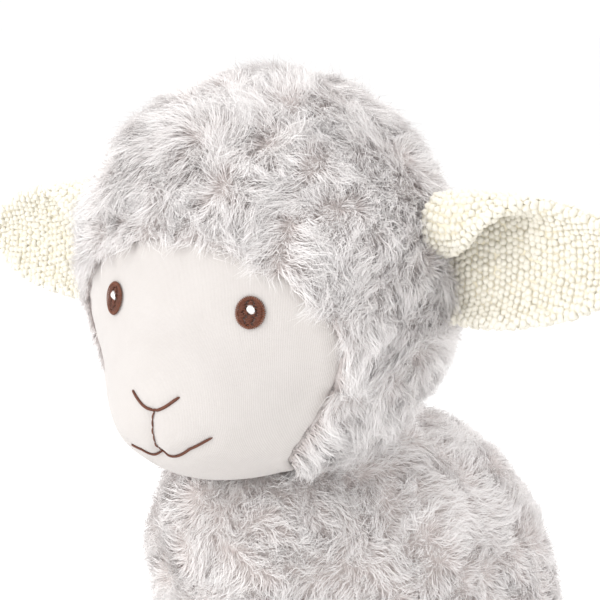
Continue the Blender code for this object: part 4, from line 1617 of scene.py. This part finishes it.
def outward_faces(piece: bpy.types.Object) -> None:
    """Turns a closed piece's faces outwards."""
    work = bmesh.new()
    work.from_mesh(piece.data)
    bmesh.ops.recalc_face_normals(work, faces=work.faces)
    work.to_mesh(piece.data)
    work.free()


@dataclass
class Limb(SoftForm):
    """A turned limb: a ball at the root, a slimmer middle and a rounded end.

    Attributes:
        hip: The middle of the root ball.
        way: The direction in which the limb lies.
        radii: Radii of root, middle and end.
        length: From the root ball's middle to the end ball's middle.
    """

    hip: Point = (0.0, 0.0, 0.0)
    way: Point = (0.0, -1.0, 0.0)
    radii: tuple[float, float, float] = (27.0 * MM, 24.0 * MM, 27.0 * MM)
    length: float = 62.0 * MM

    def radius(self, along: np.ndarray) -> np.ndarray:
        """The limb's radius at distances along it."""
        root, middle, end = self.radii
        share = np.clip(along / self.length, 0.0, 1.0)
        return root + (end - root) * share - (root + end - 2.0 * middle) / 2.0 * np.sin(math.pi * share)

    def fullness(self, points: np.ndarray, inset: float) -> np.ndarray:
        """Above zero inside the limb, drawn in by inset."""
        away = points - np.array(self.hip)
        along = away @ np.array(self.way)
        over = along - np.clip(along, 0.0, self.length)
        aside = np.linalg.norm(away - along[..., None] * np.array(self.way), axis=-1)
        return self.radius(along) - inset - np.sqrt(aside**2 + over**2)


def flat_on_floor(points: np.ndarray, lift: float = 0.3 * MM) -> np.ndarray:
    """Points with all that would be under the floor laid on it."""
    points = points.copy()
    points[:, 2] = np.maximum(points[:, 2], lift)
    return points


def settle(piece: bpy.types.Object, lift: float = 0.3 * MM) -> bpy.types.Object:
    """Flattens a piece where it rests on the floor."""
    mesh = piece.data
    points = np.empty(3 * len(mesh.vertices))
    mesh.vertices.foreach_get("co", points)
    mesh.vertices.foreach_set("co", flat_on_floor(points.reshape(-1, 3), lift).ravel())
    mesh.update()
    return piece


@dataclass
class Body:
    """The stuffed body with its round stump for the head.

    Attributes:
        wardrobe: The finishes.
        head: The head, which hides the top of the stump.
    """

    wardrobe: Wardrobe
    head: Head
    form: SoftForm = field(init=False)

    def __post_init__(self) -> None:
        """Sets up the lumps of rump, shoulder, chest and haunches."""
        x, y, z = RUMP_CENTRE
        lumps = [
            (RUMP_CENTRE, (82.0 * MM, 84.0 * MM, 80.0 * MM)),
            ((x, y - 50.0 * MM, z + 26.0 * MM), (75.0 * MM, 58.0 * MM, 60.0 * MM)),
            ((x, y - 60.0 * MM, z - 6.0 * MM), (60.0 * MM, 50.0 * MM, 72.0 * MM)),
        ]
        for side in (-1.0, 1.0):
            lumps.append(
                ((side * 48.0 * MM, y + 18.0 * MM, z - 30.0 * MM), (36.0 * MM, 46.0 * MM, 44.0 * MM))
            )
        self.form = SoftForm(RUMP_CENTRE, lumps, welds=[(NECK_CENTRE, NECK_RADIUS)])

    def build(self, limbs: list[Limb]) -> None:
        """Makes the body's underfur and its fibres.

        Args:
            limbs: Legs and tail, under whose roots no fibres grow.
        """
        inset, tries, most = 6.0 * MM, 200000, 50000
        comb = (0.0, 0.1, -0.3)
        plush = Plush(self.form, inset, 8.5 * MM, seed=23, width=0.33 * MM, comb=comb)
        under = settle(plush.tufted("body_underfur", (260, 150), self.wardrobe.underfur, 3.0 * MM))
        roots = self.form.scatter(tries, inset, plush.rng)
        behind = roots[:, 1] > NECK_CENTRE[1] + 12.0 * MM
        keep = self.head.form.fullness(roots, 1.0 * MM) < 0.0
        keep |= behind & (self.head.form.fullness(roots, 12.0 * MM) < 0.0)
        for limb in limbs:
            keep &= limb.fullness(roots, inset) < 0.0
        roots = roots[keep][: 3 * most]
        LOG.info("body roots %d", len(roots))
        pieces = [under]
        for label, some in thirds(roots, RUMP_CENTRE):
            pieces.append(settle(plush.fibres(f"body_fibres_{label}", some, self.wardrobe.fibres)))
        for piece in pieces:
            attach(piece, "torso")
        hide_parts("body_fur")
        LOG.info("body done")


@dataclass
class Leg:
    """One leg: a plush sleeve and a knitted foot.

    Attributes:
        wardrobe: The finishes.
        body: The body that it is sewn to.
        label: The CAD body's name.
        hip: The hip's place.
        angle: How far the leg points to the side, in degrees.
        side: Which side it is on.
        seed: Start of the random draws.
        seam: How far from the hip the foot is sewn on.
        limb: The leg's form.
    """

    wardrobe: Wardrobe
    body: Body
    label: str
    hip: Point
    angle: float
    side: Side
    seed: int
    seam: float = 63.0 * MM
    limb: Limb = field(init=False)

    def __post_init__(self) -> None:
        """Sets up the limb."""
        turn = math.radians(self.angle)
        way = (self.side.value * math.sin(turn), -math.cos(turn), 0.0)
        middle = tuple(h + w * 31.0 * MM for h, w in zip(self.hip, way))
        self.limb = Limb(middle, [], hip=self.hip, way=way)

    def along(self, points: np.ndarray) -> np.ndarray:
        """Distances from the hip along the leg."""
        return (points - np.array(self.hip)) @ np.array(self.limb.way)

    def build(self) -> None:
        """Makes the sleeve, its fibres, and the foot with its loops."""
        inset, tries, most = 4.5 * MM, 22000, 12500
        comb = tuple(0.4 * w for w in self.limb.way)
        plush = Plush(self.limb, inset, 7.0 * MM, self.seed, whorl=11.0 * MM, width=0.38 * MM, comb=comb)
        under = plush.tufted(f"{self.label}_underfur", (110, 90), self.wardrobe.underfur, 2.0 * MM)
        mesh = under.data
        points = np.array([v.co for v in mesh.vertices])
        over = np.clip(self.along(points) - self.seam, 0.0, None)
        points = points - over[:, None] * np.array(self.limb.way)
        mesh.vertices.foreach_set("co", flat_on_floor(points).ravel())
        mesh.update()
        roots = self.limb.scatter(tries, inset, plush.rng)
        outside = self.body.form.fullness(roots, 9.0 * MM) < 0.0
        roots = roots[(self.along(roots) < self.seam - 1.0 * MM) & outside][:most]
        fibres = settle(plush.fibres(f"{self.label}_fibres", roots, self.wardrobe.fibres))
        for piece in (under, fibres):
            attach(piece, self.label)
        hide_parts(f"{self.label}_fur")
        self.foot()
        LOG.info("%s done, %d roots", self.label, len(roots))

    def round_at(self, arc: float, drawn: float) -> tuple[float, float]:
        """Where a round of the foot lies.

        Args:
            arc: Length over the foot's surface from the seam.
            drawn: How far inside the limb the round lies.

        Returns:
            Its distance along the leg and its radius.
        """
        size, level = self.limb.radii[2] - drawn, self.limb.length
        if self.seam + arc < level:
            return self.seam + arc, float(self.limb.radius(np.array([self.seam + arc]))[0]) - drawn
        turn = min((self.seam + arc - level) / size, math.pi / 2.0)
        return level + size * math.sin(turn), size * math.cos(turn)

    def foot(self) -> None:
        """The knitted foot: a ground and its loops in rounds."""
        hip, way = np.array(self.hip), np.array(self.limb.way)
        first = np.array([0.0, 0.0, 1.0])
        second = np.cross(way, first)
        count, rows = 48, 26
        end, length = self.limb.radii[2], self.limb.length
        inset, proud = 5.6 * MM, 0.2 * MM
        whole = (end - inset) * math.pi / 2.0 - (self.seam - length)
        angle = angles(count)
        around = np.cos(angle)[:, None] * first + np.sin(angle)[:, None] * second
        back = hip + way * (self.seam - 4.0 * MM)
        rings = [back + around * (end - inset - 2.0 * MM)]
        for i in range(rows):
            level, size = self.round_at(whole * i / rows, inset)
            rings.append(hip + way * level + around * size)
        tip = hip + way * (length + end - inset)
        points = flat_on_floor(np.concatenate([back[None], *rings, tip[None]]))
        faces = ring_faces(rows + 1, count)
        ground = mesh_piece(f"{self.label}_foot_ground", points, faces, self.wardrobe.knit_ground)
        outward_faces(ground)
        knit = Knit()
        places, across, outwards = [], [], []
        rounds = int(whole / knit.row)
        for i in range(rounds):
            level, size = self.round_at(whole * (i + 0.5) / rounds, inset - proud)
            stitches = max(3, int(FULL_TURN * size / knit.stitch))
            for j in range(stitches):
                turn = FULL_TURN * (j + 0.5 * (i % 2)) / stitches
                out = math.cos(turn) * first + math.sin(turn) * second
                place = hip + way * level + out * size
                places.append(place)
                outwards.append(place - (hip + way * min(level, length)))
                across.append(-math.sin(turn) * first + math.cos(turn) * second)
        loops = knit.loops(np.array(places), np.array(across), np.array(outwards))
        yarn = settle(joined(f"{self.label}_foot_loops", loops, self.wardrobe.yarn))
        for piece in (ground, yarn):
            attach(piece, self.label)
        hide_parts(f"{self.label}_foot")


@dataclass
class Tail:
    """The short tail: a plush pouch.

    Attributes:
        wardrobe: The finishes.
        root: The tail's seam.
        slope: Its angle from level, in degrees.
        limb: The tail's form.
    """

    wardrobe: Wardrobe
    root: Point = (0.0, 0.12175, 0.09756)
    slope: float = -35.0
    limb: Limb = field(init=False)

    def __post_init__(self) -> None:
        """Sets up the limb."""
        turn = math.radians(self.slope)
        way = (0.0, math.cos(turn), math.sin(turn))
        middle = tuple(h + w * 8.0 * MM for h, w in zip(self.root, way))
        self.limb = Limb(
            middle, [], hip=self.root, way=way, radii=(16.0 * MM, 14.5 * MM, 13.0 * MM), length=20.0 * MM
        )

    def build(self) -> None:
        """Makes the pouch's underfur and fibres."""
        inset, tries, seed = 3.5 * MM, 8500, 71
        comb = tuple(0.6 * w for w in self.limb.way)
        plush = Plush(self.limb, inset, 8.0 * MM, seed, whorl=9.0 * MM, width=0.38 * MM, comb=comb)
        under = plush.tufted("tail_underfur", (72, 44), self.wardrobe.underfur, 1.5 * MM)
        roots = self.limb.scatter(tries, inset, plush.rng)
        roots = roots[(roots - np.array(self.root)) @ np.array(self.limb.way) > -11.0 * MM]
        fibres = plush.fibres("tail_fibres", roots, self.wardrobe.fibres)
        for piece in (under, fibres):
            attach(piece, "tail")
        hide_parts("tail_fur")
        LOG.info("tail done")


@dataclass
class Studio:
    """Pale floor, soft light from the left and from above, and the photo's camera.

    Attributes:
        azimuth: The camera's bearing from the sheep's front, in degrees.
        height: Its angle above level, in degrees.
        distance: From the middle of the head.
        lens: Focal length on a 36 mm sensor.
        shift: The picture's shift across and up, as a share of its width.
    """

    azimuth: float = 33.5
    height: float = 8.0
    distance: float = 780.0 * MM
    lens: float = 117.0
    shift: tuple[float, float] = (0.055, -0.05)

    def direction(self) -> Vector:
        """From the head to the camera."""
        turn, up = math.radians(self.azimuth), math.radians(self.height)
        return Vector((math.sin(turn) * math.cos(up), -math.cos(turn) * math.cos(up), math.sin(up)))

    def lamp(self, name: str, place: Vector, aim: Vector, power: float, colour: Colour) -> None:
        """A square area light, 1.2 m wide.

        Args:
            name: The light's name.
            place: Where it is.
            aim: What it shines at.
            power: Its power in watts.
            colour: Its colour.
        """
        light = bpy.data.lights.new(name, "AREA")
        light.size = 1.2
        light.energy = power
        light.color = colour
        made = bpy.data.objects.new(name, light)
        made.location = place
        made.rotation_euler = (aim - place).to_track_quat("-Z", "Y").to_euler()
        bpy.context.scene.collection.objects.link(made)

    def build(self) -> None:
        """Makes floor, world, lights and camera."""
        nothing_selected()
        bpy.ops.mesh.primitive_plane_add(size=30.0, location=(0.0, 0.0, 0.0))
        floor = bpy.context.object
        floor.name = "studio_floor"
        graph = Graph("pale_floor")
        floor.data.materials.append(graph.finish((0.98, 0.98, 0.98), 0.95))
        world = bpy.data.worlds.new("studio_world")
        world.use_nodes = True
        sky = world.node_tree.nodes["Background"]
        sky.inputs["Color"].default_value = (1.0, 1.0, 1.0, 1.0)
        sky.inputs["Strength"].default_value = 1.03
        bpy.context.scene.world = world
        aim = Vector(HEAD_CENTRE)
        ahead = self.direction()
        right = Vector((0.0, 0.0, 1.0)).cross(ahead).normalized()
        up = Vector((0.0, 0.0, 1.0))
        left = aim - right * 1.4 + ahead * 1.0 + up * 0.8
        above = aim + right * 0.5 - ahead * 0.3 + up * 1.7
        self.lamp("key", left, aim, 17.0, (1.0, 0.99, 0.975))
        self.lamp("top", above, aim, 11.0, (1.0, 0.995, 0.99))
        camera = bpy.data.cameras.new("photo_camera")
        camera.lens = self.lens
        camera.sensor_width = 36.0
        camera.shift_x, camera.shift_y = self.shift
        camera.clip_start = 0.02
        made = bpy.data.objects.new("photo_camera", camera)
        made.location = aim + ahead * self.distance
        made.rotation_euler = (-ahead).to_track_quat("-Z", "Y").to_euler()
        bpy.context.scene.collection.objects.link(made)
        bpy.context.scene.camera = made
        bpy.context.scene.view_settings.view_transform = "Standard"


def dress_inner_nodes(wardrobe: Wardrobe) -> None:
    """Gives the fillings and the closing seam, which stay CAD nodes, their finishes."""
    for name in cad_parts:
        node = bpy.data.objects.get(name)
        if node is None or node.type != "MESH":
            continue
        # The neck filling takes the underfur's darker finish: painted shade at the neck.
        if name == "neck_filling":
            finish = wardrobe.underfur
        elif name.endswith("filling"):
            finish = wardrobe.wadding
        elif name == "closing_seam":
            finish = wardrobe.pale
        else:
            continue
        node.data.materials.clear()
        node.data.materials.append(finish)


def main() -> None:
    """Builds the dressed sheep from the head to the tail."""
    logging.basicConfig(level=logging.INFO, format="%(name)s: %(message)s")
    Studio().build()
    wardrobe = Wardrobe()
    head = Head(wardrobe)
    head.build()
    Embroidery(wardrobe, head).build()
    body = Body(wardrobe, head)
    legs, seed = [], 31
    for side in Side:
        for end, place, angle in (
            ("front", (0.03436, -0.07104, 0.0265), 20.0),
            ("hind", (0.07743, 0.00473, 0.0265), 46.0),
        ):
            hip = (side.value * place[0], place[1], place[2])
            legs.append(Leg(wardrobe, body, f"{end}_leg_{side.label}", hip, angle, side, seed))
            seed += 1
    tail = Tail(wardrobe)
    body.build([leg.limb for leg in legs] + [tail.limb])
    for leg in legs:
        leg.build()
    tail.build()
    for side in Side:
        Ear(wardrobe, side).build()
    dress_inner_nodes(wardrobe)


if __name__ == "__main__":
    main()
